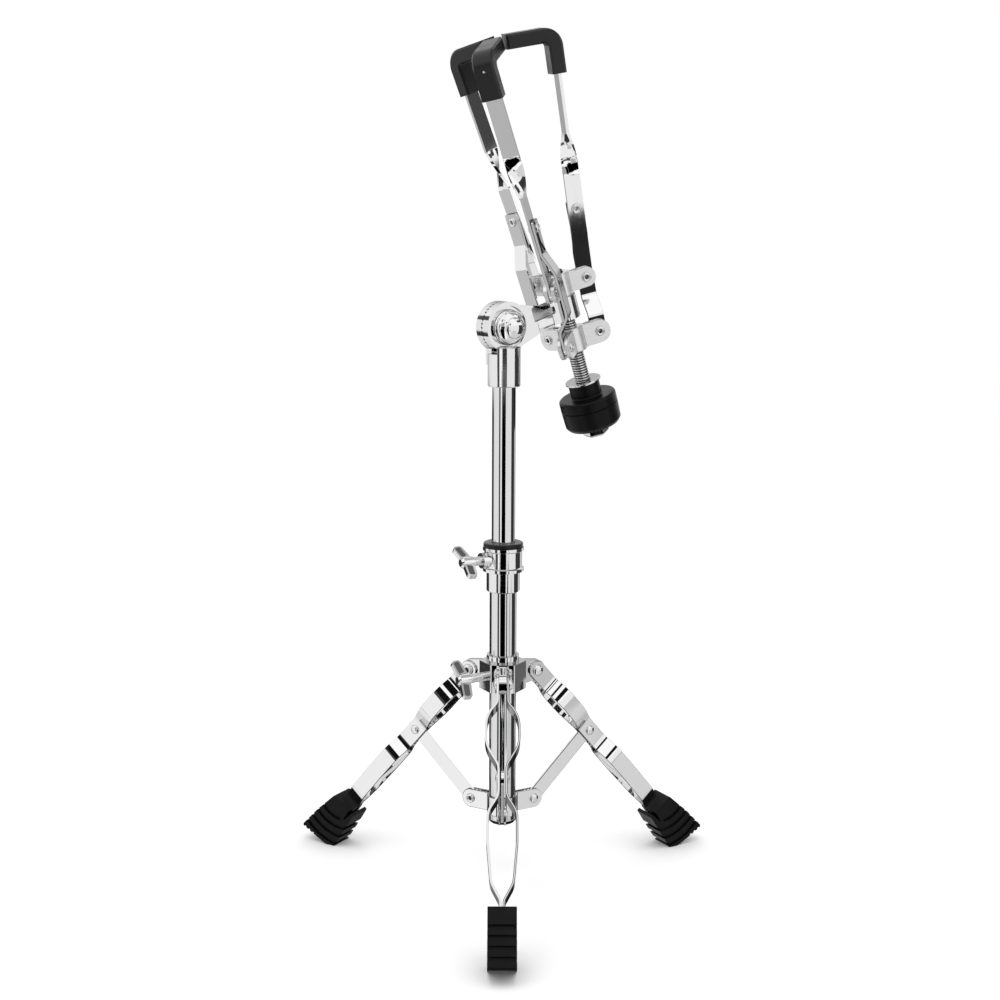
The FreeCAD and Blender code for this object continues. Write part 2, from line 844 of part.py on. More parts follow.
def build_leg_strip(label, angle, side):
    """One of a leg's two bent strips."""
    body = new_body(label)
    path, bends = strip_path(side)
    corners = strip_corners(path, strip_thick, bends)
    slab(body, "YZ_Plane", -strip_width / 2.0, strip_width / 2.0, lambda sketch: rounded(sketch, corners))
    top = float(ear_round)
    soften(body, strip_width / 2.0 - ROUND_LEFT,
           lambda edge: edge.BoundBox.ZMin > top - 0.01 and edge.BoundBox.YLength > 1.0)
    slab(body, "XZ_Plane", -bulge_top * 2.0, bulge_top * 2.0,
         lambda sketch: circle(sketch, 0, 0, leg_pin_r + fit_gap), cut=True)
    slab(body, "XZ_Plane", -bulge_top * 2.0, bulge_top * 2.0,
         lambda sketch: circle(sketch, 0, -leg_rivet, leg_rivet_r), cut=True)
    body.Placement = leg_frame(angle)
    return keep(body)


def floor_along(across):
    """Where the floor crosses a line beside the leg's middle line, measured from the pivot."""
    splay = math.radians(float(leg_splay))
    return (float(boss_z) + float(across) * math.sin(splay)) / math.cos(splay)


def sole_point(across):
    """Point of the sole between its toe and its middle, at a distance from the leg's middle line."""
    share = float(across) / float(foot_toe)
    up = float(sole_rise) + share * (float(toe_rise) - float(sole_rise))
    return (float(across), up - leg_run())


def foot_corners():
    """Corner triples of the boot's side view: toe to the right, sole below."""
    run = leg_run()
    entry = foot_rise - run
    return [
        (foot_neck, entry, foot_corner),
        (foot_flank, foot_flank_rise - run, foot_rise / 2.0),
        sole_point(foot_toe) + (foot_corner,),
        sole_point(0) + (sole_bend,),
        (-flat_near, -floor_along(-flat_near), 0),
        (-flat_far, -floor_along(-flat_far), 0),
        (-foot_heel, foot_heel_rise - run, foot_heel),
        (-foot_heel_top, entry, foot_corner / 2.0),
    ]


def drawn_in(corners, depth):
    """Corner triples moved inward by a depth; the outline runs clockwise."""
    points = [Vector(float(across), float(up), 0) for across, up, _ in corners]
    count = len(points)
    moved = []
    for index in range(count):
        here = points[index]
        come = (here - points[index - 1]).normalize()
        leave = (points[(index + 1) % count] - here).normalize()
        side_in = Vector(come.y, -come.x, 0)
        side_out = Vector(leave.y, -leave.x, 0)
        middle = (side_in + side_out).normalize()
        place = here + middle * (float(depth) / middle.dot(side_in))
        moved.append((place.x, place.y, corners[index][2]))
    return moved


def rib_rings(sketch):
    """Rings about a point above the toe; they meet the boot only where its grooves run."""
    level = rib_level - leg_run()
    for index in range(RIB_COUNT):
        middle = rib_first - rib_step * index
        circle(sketch, rib_centre, level, middle - rib_gap / 2.0)
        circle(sketch, rib_centre, level, middle + rib_gap / 2.0)
    short_ring(sketch, float(rib_first - rib_step * RIB_COUNT), float(level))


def short_ring(sketch, middle, level):
    """The last groove, which ends on the boot's sides before it gets to the heel."""
    half = float(rib_gap) / 2.0
    toe_end = math.radians(float(slot_from))
    heel_end = math.radians(float(slot_to))
    ends = []
    for radius in (middle - half, middle + half):
        points = []
        for turn in (toe_end, (toe_end + heel_end) / 2.0, heel_end):
            across = float(rib_centre) + radius * math.sin(turn)
            points.append(Vector(across, level - radius * math.cos(turn), 0))
        sketch.addGeometry(Part.Arc(points[0], points[1], points[2]), False)
        ends.append((points[0], points[2]))
    for inner, outer in zip(ends[0], ends[1]):
        sketch.addGeometry(Part.LineSegment(inner, outer), False)


def tread_holes(sketch):
    """Round notches across the toe half of the sole."""
    for index in range(TREAD_COUNT):
        across, up = sole_point(foot_toe * (0.8 - 0.25 * index))
        circle(sketch, across, up, tread_r)


def foot_slits(sketch):
    """Slit beside the strips that parts the heel wall from the neck."""
    edge = -float(strip_width) / 2.0
    entry = float(foot_rise) - leg_run()
    bottom = entry - float(slit_depth)
    wide = float(slit_width)
    rounded(sketch, [
        (edge + wide * 0.45, entry + CUT_OVER, 0),
        (edge + wide * 0.1, bottom, 0),
        (edge - wide * 0.3, bottom, 0),
        (edge - wide * 0.55, entry + CUT_OVER, 0),
    ])


def build_leg_foot(label, angle):
    """Ribbed rubber boot with an arched sole and a flat where it meets the floor."""
    corners = foot_corners()
    half = foot_width / 2.0
    over = half + CUT_OVER
    grooves = new_body(label + "_grooves")
    slab(grooves, "XZ_Plane", -over, over, rib_rings)
    core = drawn_in(corners, foot_groove)
    core_half = half - foot_groove
    slab(grooves, "XZ_Plane", -core_half, core_half, lambda sketch: rounded(sketch, core), cut=True)
    body = new_body(label)
    slab(body, "XZ_Plane", -half, half, lambda sketch: rounded(sketch, corners))
    ribs = body.newObject("PartDesign::Boolean", "Ribs")
    ribs.setObjects([grooves])
    ribs.Type = "Cut"
    body.Tip = ribs
    slab(body, "XZ_Plane", -over, over, foot_slits, cut=True)
    slab(body, "XZ_Plane", -over, over, tread_holes, cut=True)
    pocket_half = strip_meet + strip_thick / 2.0
    slab(body, "XZ_Plane", -pocket_half, pocket_half, foot_pocket, cut=True)
    body.Placement = leg_frame(angle)
    return keep(body)


def polygon_free(sketch, low_x, high_x, low_y, high_y):
    """A rectangle between four plain numbers."""
    corners = [(low_x, low_y), (high_x, low_y), (high_x, high_y), (low_x, high_y)]
    points = [Vector(across, up, 0) for across, up in corners]
    for index in range(4):
        sketch.addGeometry(Part.LineSegment(points[index - 1], points[index]), False)


def foot_pocket(sketch):
    """Socket in the boot for the ends of the two strips."""
    half = float(strip_width) / 2.0
    run = leg_run()
    polygon_free(sketch, -half, half, float(strip_end) - run, float(foot_rise) + CUT_OVER - run)


def build_legs():
    """Three legs of two strips, a foot and the rivet halves of the brace joint."""
    depth = strip_thick
    template = build_headed_stub("brace_stub_form", leg_rivet_r, depth, small_head_r, small_head_h)
    for number, angle in enumerate(LEG_ANGLES, start=1):
        build_leg_strip("leg_%d_strip_left" % number, angle, -1.0)
        build_leg_strip("leg_%d_strip_right" % number, angle, 1.0)
        build_leg_foot("leg_%d_foot" % number, angle)
        inside = float(pinch_half - strip_thick / 2.0)
        places = []
        for side, quarter in ((1.0, QUARTER), (-1.0, BACK_QUARTER)):
            place = leg_frame(angle).multiply(move(0, side * inside, -float(leg_rivet)))
            places.append(place.multiply(quarter))
        group("leg_%d_rivets" % number, template, places)


def brace_geometry():
    """Length of a brace between pivots and its lean from the vertical."""
    splay = math.radians(float(leg_splay))
    out = float(ear_reach) + float(leg_rivet) * math.sin(splay) - float(spider_reach)
    up = float(boss_z) - float(leg_rivet) * math.cos(splay) - float(spider_z)
    return math.hypot(out, up), math.degrees(math.atan2(out, up))


def build_brace(label, angle):
    """Flat bar from the spider to the leg's rivet."""
    body = new_body(label)
    length, tilt = brace_geometry()
    half = float(brace_width) / 2.0
    corners = [
        (-half, -half, half * FULL_ROUND),
        (half, -half, half * FULL_ROUND),
        (half, length + half, half * FULL_ROUND),
        (-half, length + half, half * FULL_ROUND),
    ]
    slab(body, "XZ_Plane", -brace_thick / 2.0, brace_thick / 2.0, lambda sketch: rounded(sketch, corners))
    slab(body, "XZ_Plane", -brace_thick, brace_thick,
         lambda sketch: circle(sketch, 0, 0, spider_pin_r + fit_gap), cut=True)
    place = station(angle).multiply(move(spider_reach, 0, spider_z))
    body.Placement = place.multiply(lean(tilt))
    return keep(body)


def spider_plate_middle():
    """Distance of a spider plate's middle from the brace's middle plane."""
    return brace_thick / 2.0 + face_gap + spider_thick / 2.0


def build_spider_plate(label, angle):
    """Bent plate from one ear round the tube to the next ear."""
    body = new_body(label)
    side = float(spider_plate_middle())
    reach = float(spider_reach) + float(spider_height) / 2.0
    wrap = float(tube_r) + float(spider_thick) / 2.0
    lead = math.radians(SPIDER_LEAD)
    knee = ((wrap - side * math.sin(lead)) / math.cos(lead), side)
    path = [(reach, side), knee]
    for degrees in (2.0 * SPIDER_LEAD, 4.0 * SPIDER_LEAD):
        angle_here = math.radians(degrees)
        radius = wrap / math.cos(lead)
        path.append((radius * math.cos(angle_here), radius * math.sin(angle_here)))
    turn = math.radians(LEG_STEP)

    def mirrored(point):
        across = point[0] * math.cos(turn) + point[1] * math.sin(turn)
        along = point[0] * math.sin(turn) - point[1] * math.cos(turn)
        return (across, along)

    first = path[0]
    path = path + [mirrored(knee), mirrored(first)]
    corners = strip_corners(path, spider_thick, [0.0, spider_bend, wrap, wrap, spider_bend, 0.0])
    slab(body, "XY_Plane", -spider_height / 2.0, spider_height / 2.0, lambda sketch: rounded(sketch, corners))
    ends = (Vector(reach, side, 0), Vector(*mirrored(first), 0))

    def at_end(edge):
        middle = edge.CenterOfMass
        flat = edge.BoundBox.ZLength < 0.01 and edge.Length < float(spider_thick) * 1.05
        near = min((Vector(middle.x, middle.y, 0) - end).Length for end in ends)
        return flat and near < 0.3

    soften(body, spider_height / 2.0 - ROUND_LEFT, at_end)
    slab(body, "XZ_Plane", 0, spider_plate_middle() * 2.0,
         lambda sketch: circle(sketch, spider_reach, 0, spider_pin_r), cut=True)
    sketch = body.newObject("Sketcher::SketchObject", "Outline")
    sketch.AttachmentSupport = [(origin_part(body, "XZ_Plane"), "")]
    sketch.MapMode = "FlatFace"
    sketch.AttachmentOffset = Placement(Vector(), Rotation(Vector(0, 1, 0), LEG_STEP))
    circle(sketch, spider_reach, 0, spider_pin_r)
    hole = body.newObject("PartDesign::Pocket", "FarHole")
    hole.Profile = sketch
    hole.SideType = "Symmetric"
    bind(hole, "Length", spider_plate_middle() * 4.0)
    body.Tip = hole
    body.Placement = station(angle).multiply(move(0, 0, spider_z))
    return keep(body)


def build_spider():
    """Three plates, three pins and three braces."""
    for number, angle in enumerate(LEG_ANGLES, start=1):
        build_spider_plate("spider_plate_%d" % number, angle)
        build_brace("brace_%d" % number, angle)
    grip = (spider_plate_middle() + spider_thick / 2.0) * 2.0
    template = build_headed_pin("spider_pin_form", spider_pin_r, grip, small_head_r, small_head_h)
    places = []
    for angle in LEG_ANGLES:
        places.append(station(angle).multiply(move(spider_reach, 0, spider_z)).multiply(QUARTER))
    group("spider_rivets", template, places)


# Tilter

def tilt_base():
    """Frame at the tilter's pivot on the column's axis: Y runs along the pivot."""
    return move(0, 0, tilt_z).multiply(spin(tilt_turn))


def tooth(sketch):
    """One groove of the face teeth, on the side of +Z."""
    half = tooth_width / 2.0
    end = disc_r + CUT_OVER
    polygon(sketch, [(-half, tooth_inner), (half, tooth_inner), (half, end), (-half, end)])


def cut_teeth(body, low, high):
    """Radial grooves round the disc's face."""
    groove = slab(body, "XZ_Plane", low, high, tooth, cut=True)
    pattern = body.newObject("PartDesign::PolarPattern", "Teeth")
    pattern.Originals = [groove]
    pattern.Axis = (origin_part(body, "Y_Axis"), [""])
    pattern.Angle = 360.0
    pattern.Occurrences = TOOTH_COUNT
    body.Tip = pattern


def build_tilter_sleeve():
    """Sleeve on the upper tube carrying the rear toothed disc."""
    body = new_body("tilter_sleeve")
    face = disc_mid + disc_gap / 2.0
    back = face + disc_thick
    turned(body, [
        (0, -sleeve_drop),
        (sleeve_r - edge_break, -sleeve_drop),
        (sleeve_r, edge_break - sleeve_drop),
        (sleeve_r, -sleeve_lip - edge_break),
        (sleeve_r - edge_break, -sleeve_lip),
        (0, -sleeve_lip),
    ])
    front = disc_mid - disc_gap / 2.0 - disc_thick
    slab(body, "XZ_Plane", front - disc_gap, sleeve_r * 2.0, lambda sketch: polygon(sketch, [
        (-sleeve_r * 2.0, -sleeve_top),
        (sleeve_r * 2.0, -sleeve_top),
        (sleeve_r * 2.0, 0),
        (-sleeve_r * 2.0, 0),
    ]), cut=True)
    slab(body, "XZ_Plane", face, back, lambda sketch: circle(sketch, 0, 0, disc_r))
    half = sleeve_r - web_inset
    slab(body, "XZ_Plane", face, back, lambda sketch: polygon(sketch, [
        (-half, -sleeve_top - web_drop),
        (half, -sleeve_top - web_drop),
        (half, -disc_r * 0.5),
        (-half, -disc_r * 0.5),
    ]))
    cut_teeth(body, face - CUT_OVER, face + tooth_depth)
    slab(body, "XZ_Plane", face - CUT_OVER, back + CUT_OVER,
         lambda sketch: circle(sketch, 0, 0, tilt_bolt_r), cut=True)
    turned(body, [
        (0, -sleeve_drop - CUT_OVER),
        (upper_r, -sleeve_drop - CUT_OVER),
        (upper_r, -sleeve_top - sleeve_cap),
        (0, -sleeve_top - sleeve_cap),
    ], cut=True)
    body.Placement = tilt_base()
    return keep(body)


def basket_base():
    """Frame at the tilter's pivot that leans with the basket: Z runs along the rod."""
    return tilt_base().multiply(lean(-float(tilt_lean)))


def arm_outline(sketch):
    """Side view of the tilter arm from its disc to the rod's ring."""
    end = rod_offset - ring_r / 3.0
    root = disc_r - edge_break
    rounded(sketch, [
        (0, root, 0),
        (knee_top, ring_high, knee_blend),
        (end, ring_high, 0),
        (end, ring_low, 0),
        (knee_low, ring_low, knee_blend),
        (0, -root, 0),
    ])


def arm_recess(sketch):
    """Sunk panel in the arm's near face."""
    near = disc_r + panel_gap
    far = rod_offset - ring_r - panel_round
    top = ring_high - panel_rim
    rounded(sketch, [
        (near, panel_rise, panel_round),
        (knee_top, top, panel_round),
        (far, top, panel_round),
        (far, -panel_drop, panel_round),
        (near, -panel_drop, panel_round),
    ])


def build_tilter_arm():
    """Near toothed disc with its stepped boss and the arm to the rod."""
    body = new_body("tilter_arm")
    face = disc_mid - disc_gap / 2.0
    front = face - disc_thick
    slab(body, "XZ_Plane", front, face, lambda sketch: circle(sketch, 0, 0, disc_r))
    slab(body, "XZ_Plane", front, face, arm_outline)
    cut_teeth(body, face - tooth_depth, face + CUT_OVER)
    slab(body, "XZ_Plane", front - CUT_OVER, front + tilt_dish,
         lambda sketch: circle(sketch, 0, 0, disc_r - tilt_rim), cut=True)
    slab(body, "XZ_Plane", front - tilt_boss_h, front + tilt_dish + edge_break,
         lambda sketch: circle(sketch, 0, 0, tilt_boss_r))
    slab(body, "XZ_Plane", front - CUT_OVER, front + panel_depth, arm_recess, cut=True)
    edge_level = float(front - tilt_boss_h)
    soften(body, tilt_round, lambda edge: abs(edge.CenterOfMass.y - edge_level) < 0.01)
    slab(body, "XY_Plane", ring_low, ring_high, lambda sketch: circle(sketch, rod_offset, 0, ring_r))
    slab(body, "XY_Plane", ring_low - CUT_OVER, ring_high + CUT_OVER,
         lambda sketch: circle(sketch, rod_offset, 0, rod_r), cut=True)
    slab(body, "XZ_Plane", front - tilt_boss_h - CUT_OVER, face + CUT_OVER,
         lambda sketch: circle(sketch, 0, 0, tilt_bolt_r + fit_gap), cut=True)
    body.Placement = basket_base()
    return keep(body)


def bolt_cap_seat():
    """Share of the dome's height at which the cap sits."""
    return math.sqrt(1.0 - (float(bolt_cap_r) / float(dome_r)) ** 2)


def build_tilter_bolt():
    """Pivot bolt with a domed head and a smaller cap at the near side."""
    body = new_body("tilter_bolt")
    seat = disc_gap / 2.0 - disc_mid + disc_thick + tilt_boss_h + fit_gap
    rear = -(disc_mid + disc_gap / 2.0 + disc_thick + tilt_bolt_tail)
    shank = [(rear, 0), (rear, tilt_bolt_r), (seat, tilt_bolt_r)]
    skirt = [point for point in dome(seat, dome_h, dome_r) if float(point[1]) > float(bolt_cap_r)]
    cap = dome(seat + dome_h * bolt_cap_seat(), bolt_cap_h, bolt_cap_r)
    turned(body, shank + skirt + cap, axis="H_Axis")
    body.Placement = tilt_base().multiply(BACK_QUARTER)
    return keep(body)


def build_tilter_wing_nut():
    """Wing nut on the rear end of the pivot bolt."""
    body = new_body("tilter_wing_nut")
    seat = disc_mid + disc_gap / 2.0 + disc_thick + fit_gap * 2.0
    collar = wing_hub_r + nut_flange
    waist = wing_hub_r + nut_flange / 2.0
    turned(body, [
        (seat, 0),
        (seat, collar),
        (seat + nut_flange_h, collar),
        (seat + nut_flange_h + edge_break, waist),
        (seat + wing_hub_h, waist),
        (seat + wing_hub_h, 0),
    ], axis="H_Axis")
    add_wings(body, seat)
    slab(body, "YZ_Plane", seat - CUT_OVER, seat + wing_hub_h * 1.5,
         lambda sketch: circle(sketch, 0, 0, tilt_bolt_r + fit_gap), cut=True)
    turn = Placement(Vector(), Rotation(Vector(1, 0, 0), float(nut_wing_turn)))
    body.Placement = tilt_base().multiply(QUARTER).multiply(turn)
    return keep(body)


# Basket

def rod_frame(level):
    """Frame on the rod's axis at a level above the tilter's pivot."""
    return basket_base().multiply(move(rod_offset, 0, level))


def arm_frame(level, index):
    """Frame at one clevis pin: X outward from the rod, Y along the pin."""
    place = rod_frame(level).multiply(spin(float(basket_spin) + ARM_STEP * index))
    return place.multiply(move(clevis_reach, 0, 0))


def build_rod():
    """Rod with a domed top; its thread is a surface detail."""
    body = new_body("basket_rod")
    turned(body, [
        (0, rod_low),
        (rod_r - rod_chamfer, rod_low),
        (rod_r, rod_low + rod_chamfer),
        (rod_r, rod_high - rod_chamfer),
        (rod_r - rod_chamfer, rod_high),
        (0, rod_high),
    ])
    body.Placement = rod_frame(0)
    return keep(body)


def build_clevis_hub(label, level, low, high, bore, half):
    """Hub with three forked lugs."""
    body = new_body(label)
    turned(body, [
        (0, low),
        (hub_r - edge_break, low),
        (hub_r, low + edge_break),
        (hub_r, high - edge_break),
        (hub_r - edge_break, high),
        (0, high),
    ])
    end = clevis_reach + half * 0.86
    tall = float(half - lug_trim)
    root = hub_r - lug_root

    def lug_outline(sketch):
        rounded(sketch, [
            (root, -tall, 0),
            (end, -tall, tall * 0.9),
            (end, tall, tall * 0.9),
            (root, tall, 0),
        ])

    def slot_outline(sketch):
        over = tall + CUT_OVER
        polygon_free(sketch, float(hub_r + slot_root), float(end) + CUT_OVER, -over, over)

    lug = slab(body, "XZ_Plane", -clevis_outer / 2.0, clevis_outer / 2.0, lug_outline)
    polar(body, [lug])
    slot = slab(body, "XZ_Plane", -clevis_slot / 2.0, clevis_slot / 2.0, slot_outline, cut=True)
    polar(body, [slot])
    hole = slab(body, "XZ_Plane", -clevis_outer, clevis_outer,
                lambda sketch: circle(sketch, clevis_reach, 0, clevis_pin_r), cut=True)
    polar(body, [hole])
    under = low - CUT_OVER
    over = high + CUT_OVER
    turned(body, [(0, under), (bore, under), (bore, over), (0, over)], cut=True)
    body.Placement = rod_frame(level).multiply(spin(basket_spin))
    return keep(body)


def build_hubs():
    """Fixed crown and sliding hub with their pins."""
    low = ring_high - crown_w
    rim = edge_break / 2.0
    build_clevis_hub("basket_crown", crown_w, low, crown_half + rim, rod_r, crown_half - rim)
    build_clevis_hub("basket_slider", slider_w, -slider_half, slider_half, rod_r + fit_gap, slider_half)
    template = build_headed_pin("clevis_pin_form", clevis_pin_r, clevis_outer, small_head_r, small_head_h)
    for label, level in (("crown_pins", crown_w), ("slider_pins", slider_w)):
        places = []
        for index in range(3):
            places.append(arm_frame(level, index).multiply(QUARTER))
        group(label, template, places)


def arm_lean():
    """Lean of the closed arms, at which the tips of the three grips just clear each other."""
    touch = float(grip_width) / 2.0 / math.tan(math.radians(ARM_STEP / 2.0))
    inward = float(clevis_reach) - touch - float(tip_gap)
    rise = float(hook_high) - float(grip_thick) / 2.0
    reach = float(grip_reach)
    return math.degrees(math.acos(inward / math.hypot(reach, rise)) - math.atan2(rise, reach))


def twist_section(body, height, angle):
    """Bar section at one height of the twist."""
    sketch = body.newObject("Sketcher::SketchObject", "Section")
    sketch.AttachmentSupport = [(origin_part(body, "XY_Plane"), "")]
    sketch.MapMode = "FlatFace"
    sketch.AttachmentOffset = Placement(Vector(0, 0, float(height)), Rotation(Vector(0, 0, 1), angle))
    polygon_free(sketch, -float(arm_width) / 2.0, float(arm_width) / 2.0,
                 -float(arm_thick) / 2.0, float(arm_thick) / 2.0)
    return sketch


def hook_corners(low, reach, thick):
    """Corner triples of the bar's hook, or of the rubber round it."""
    path = [(0.0, float(low)), (0.0, float(hook_high)), (-float(reach), float(hook_high))]
    return strip_corners(path, thick, [hook_bend] * len(path))


def build_arm(label, index):
    """Flat bar, twisted a quarter turn and hooked inward at the top."""
    body = new_body(label)
    half = float(arm_width) / 2.0
    top = float(twist_low)
    slab(body, "XZ_Plane", -arm_thick / 2.0, arm_thick / 2.0, lambda sketch: rounded(sketch, [
        (-half, -half, half * FULL_ROUND),
        (half, -half, half * FULL_ROUND),
        (half, top, 0),
        (-half, top, 0),
    ]))
    sections = []
    for step in range(TWIST_STEPS + 1):
        share = step / TWIST_STEPS
        height = float(twist_low) + share * (float(twist_high) - float(twist_low))
        sections.append(twist_section(body, height, -90.0 * share))
    loft = body.newObject("PartDesign::AdditiveLoft", "Twist")
    loft.Profile = sections[0]
    loft.Sections = sections[1:]
    loft.Ruled = False
    body.Tip = loft
    slab(body, "XZ_Plane", -arm_width / 2.0, arm_width / 2.0,
         lambda sketch: rounded(sketch, hook_corners(twist_high, hook_reach, arm_thick)))
    slab(body, "XZ_Plane", -arm_thick, arm_thick,
         lambda sketch: circle(sketch, 0, 0, clevis_pin_r + fit_gap), cut=True)
    slab(body, "XZ_Plane", -arm_thick, arm_thick,
         lambda sketch: circle(sketch, 0, arm_rivet, arm_rivet_r), cut=True)
    body.Placement = arm_frame(crown_w, index).multiply(lean(arm_lean()))
    return keep(body)


def build_grip(label, index):
    """Rubber L sleeve on the hook."""
    body = new_body(label)
    slab(body, "XZ_Plane", -grip_width / 2.0, grip_width / 2.0,
         lambda sketch: rounded(sketch, hook_corners(grip_low, grip_reach, grip_thick)))
    side = float(grip_width) / 2.0
    low = float(grip_low)

    def along_side(edge):
        flat = edge.BoundBox.YLength < 0.01
        outside = abs(abs(edge.CenterOfMass.y) - side) < 0.01
        return flat and outside and edge.BoundBox.ZMax > low + 0.5

    soften(body, grip_bevel, along_side, "Chamfer")
    slab(body, "XZ_Plane", -arm_width / 2.0, arm_width / 2.0,
         lambda sketch: rounded(sketch, hook_corners(grip_low - CUT_OVER, hook_reach, arm_thick)), cut=True)
    dot = grip_low + grip_hole_rise
    slab(body, "YZ_Plane", arm_thick / 4.0, grip_thick,
         lambda sketch: circle(sketch, 0, dot, grip_hole_r), cut=True)
    body.Placement = arm_frame(crown_w, index).multiply(lean(arm_lean()))
    return keep(body)


def strut_geometry():
    """Length of a strut between its pivots and its lean from the rod's axis."""
    tilt = math.radians(arm_lean())
    out = float(arm_rivet) * math.sin(tilt)
    up = float(crown_w) - float(slider_w) + float(arm_rivet) * math.cos(tilt)
    return math.hypot(out, up), math.degrees(math.atan2(out, up))


def build_strut(label, index):
    """Flat bar bowed sideways round the crown's fork."""
    body = new_body(label)
    length, tilt = strut_geometry()
    half = float(arm_width) / 2.0
    bow = float(strut_bow)
    side = float(strut_side)
    path = [
        (0.0, -half),
        (0.0, strut_leave),
        (bow, strut_out),
        (bow, length - strut_back),
        (side, length - strut_rejoin),
        (side, length + half),
    ]
    corners = strip_corners(path, arm_thick, [strut_bend] * len(path))
    slab(body, "YZ_Plane", -arm_width / 2.0, arm_width / 2.0, lambda sketch: rounded(sketch, corners))
    top = length + half
    soften(body, arm_width / 2.0 - ROUND_LEFT,
           lambda edge: edge.BoundBox.ZMax < 0.01 - half and edge.BoundBox.YLength > 1.0)
    soften(body, strut_corner,
           lambda edge: edge.BoundBox.ZMin > top - 0.01 and edge.BoundBox.YLength > 1.0)
    slab(body, "XZ_Plane", -arm_thick, arm_thick,
         lambda sketch: circle(sketch, 0, 0, clevis_pin_r + fit_gap), cut=True)
    slab(body, "XZ_Plane", strut_side - arm_thick, strut_side + arm_thick,
         lambda sketch: circle(sketch, 0, length, arm_rivet_r), cut=True)
    body.Placement = arm_frame(slider_w, index).multiply(lean(tilt))
    return keep(body)


def build_arms():
    """Three arms with grips and struts; the shared rivet is a half in each bar."""
    template = build_headed_stub("arm_stub_form", arm_rivet_r, arm_thick, small_head_r, small_head_h)
    length, tilt = strut_geometry()
    for index in range(3):
        number = index + 1
        build_arm("arm_%d" % number, index)
        build_grip("grip_%d" % number, index)
        build_strut("strut_%d" % number, index)
        place = arm_frame(crown_w, index).multiply(lean(arm_lean()))
        place = place.multiply(move(0, arm_thick / 2.0, arm_rivet))
        group("arm_%d_rivet" % number, template, [place.multiply(BACK_QUARTER)])
        place = arm_frame(slider_w, index).multiply(lean(tilt))
        place = place.multiply(move(0, strut_side - arm_thick / 2.0, length))
        group("strut_%d_rivet" % number, template, [place.multiply(QUARTER)])


def build_knob():
    """Moulded knob, chrome washer on top and chrome insert below."""
    body = new_body("basket_knob")
    bore = rod_r + fit_gap
    top = washer_w - washer_h
    shoulder = top - knob_neck_h
    middle = (shoulder + knob_low) / 2.0 + knob_seam_rise
    seam_half = knob_seam * 0.6
    bevel = knob_round * 0.3
    turned(body, [
        (bore, top),
        (knob_neck_r, top),
        (knob_neck_r, shoulder + knob_fillet),
        (knob_neck_r + knob_fillet, shoulder),
        (knob_r - knob_round, shoulder),
        (knob_r - bevel, shoulder - bevel),
        (knob_r, shoulder - knob_round),
        (knob_r, middle + seam_half),
        (knob_r - knob_seam, middle),
        (knob_r, middle - seam_half),
        (knob_r - seam_half, knob_low + knob_chamfer),
        (knob_r - knob_chamfer, knob_low),
        (bore, knob_low),
    ])
    body.Placement = rod_frame(0)
    keep(body)
    body = new_body("knob_washer")
    turned(body, [
        (bore, top),
        (washer_r, top),
        (washer_r, washer_w - washer_break),
        (washer_r - washer_break, washer_w),
        (bore, washer_w),
    ])
    body.Placement = rod_frame(0)
    keep(body)
    body = new_body("knob_insert")
    turned(body, [
        (bore, knob_low - insert_h),
        (insert_r - edge_break, knob_low - insert_h),
        (insert_r, knob_low - insert_h + edge_break),
        (insert_r, knob_low),
        (bore, knob_low),
    ])
    body.Placement = rod_frame(0)
    keep(body)


build_lower_tube()
build_tube_plug()
build_height_collar()
build_collar_bush()
build_column_bolts()
build_upper_tube()
build_tripod_boss()
build_boss_rivets()
build_legs()
build_spider()
build_tilter_sleeve()
build_tilter_arm()
build_tilter_bolt()
build_tilter_wing_nut()
build_rod()
build_hubs()
build_arms()
build_knob()
doc.recompute()

for item in doc.Objects:
    if "Invalid" in item.State or "Error" in item.State:
        raise RuntimeError("not built: %s %s" % (item.Name, item.Label))
os.makedirs("parts", exist_ok=True)
for item in made:
    shape = item.Shape
    if shape.isNull() or not shape.isValid():
        raise RuntimeError("bad shape: " + item.Label)
    if shape.Volume <= 0.0 or len(shape.Solids) == 0:
        raise RuntimeError("no solid: " + item.Label)
    shape.exportStep("parts/%s.step" % item.Label)
    print(item.Label, len(shape.Solids), round(shape.Volume, 1))
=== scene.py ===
import json
import logging
import math
from dataclasses import dataclass, field
from enum import Enum
from typing import Dict, List, Optional, Sequence, Tuple, Union

import bmesh
import bpy
from bmesh.types import BMesh, BMVert
from bpy.types import GeometryNodeTree, Material, Mesh, Node, NodeTree, Object, ShaderNodeTree
from mathutils import Matrix, Vector


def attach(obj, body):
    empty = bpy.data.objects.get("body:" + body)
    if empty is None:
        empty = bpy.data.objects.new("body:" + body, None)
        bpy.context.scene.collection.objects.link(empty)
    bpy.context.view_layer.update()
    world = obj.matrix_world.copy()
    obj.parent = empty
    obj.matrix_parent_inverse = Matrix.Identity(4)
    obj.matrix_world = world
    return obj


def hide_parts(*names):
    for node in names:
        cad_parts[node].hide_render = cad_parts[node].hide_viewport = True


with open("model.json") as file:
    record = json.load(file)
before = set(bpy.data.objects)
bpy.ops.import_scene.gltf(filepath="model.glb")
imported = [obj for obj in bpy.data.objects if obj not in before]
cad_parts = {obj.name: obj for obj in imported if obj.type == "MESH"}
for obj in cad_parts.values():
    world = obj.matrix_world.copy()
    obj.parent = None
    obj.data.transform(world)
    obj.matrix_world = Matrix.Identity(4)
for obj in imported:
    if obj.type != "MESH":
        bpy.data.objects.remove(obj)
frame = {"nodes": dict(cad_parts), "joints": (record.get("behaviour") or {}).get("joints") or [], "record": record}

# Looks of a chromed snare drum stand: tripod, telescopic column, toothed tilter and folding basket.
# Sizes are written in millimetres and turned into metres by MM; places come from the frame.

Color = Tuple[float, float, float]
Outline = List[Tuple[float, float]]
Corners = Sequence[Tuple[float, float, float]]
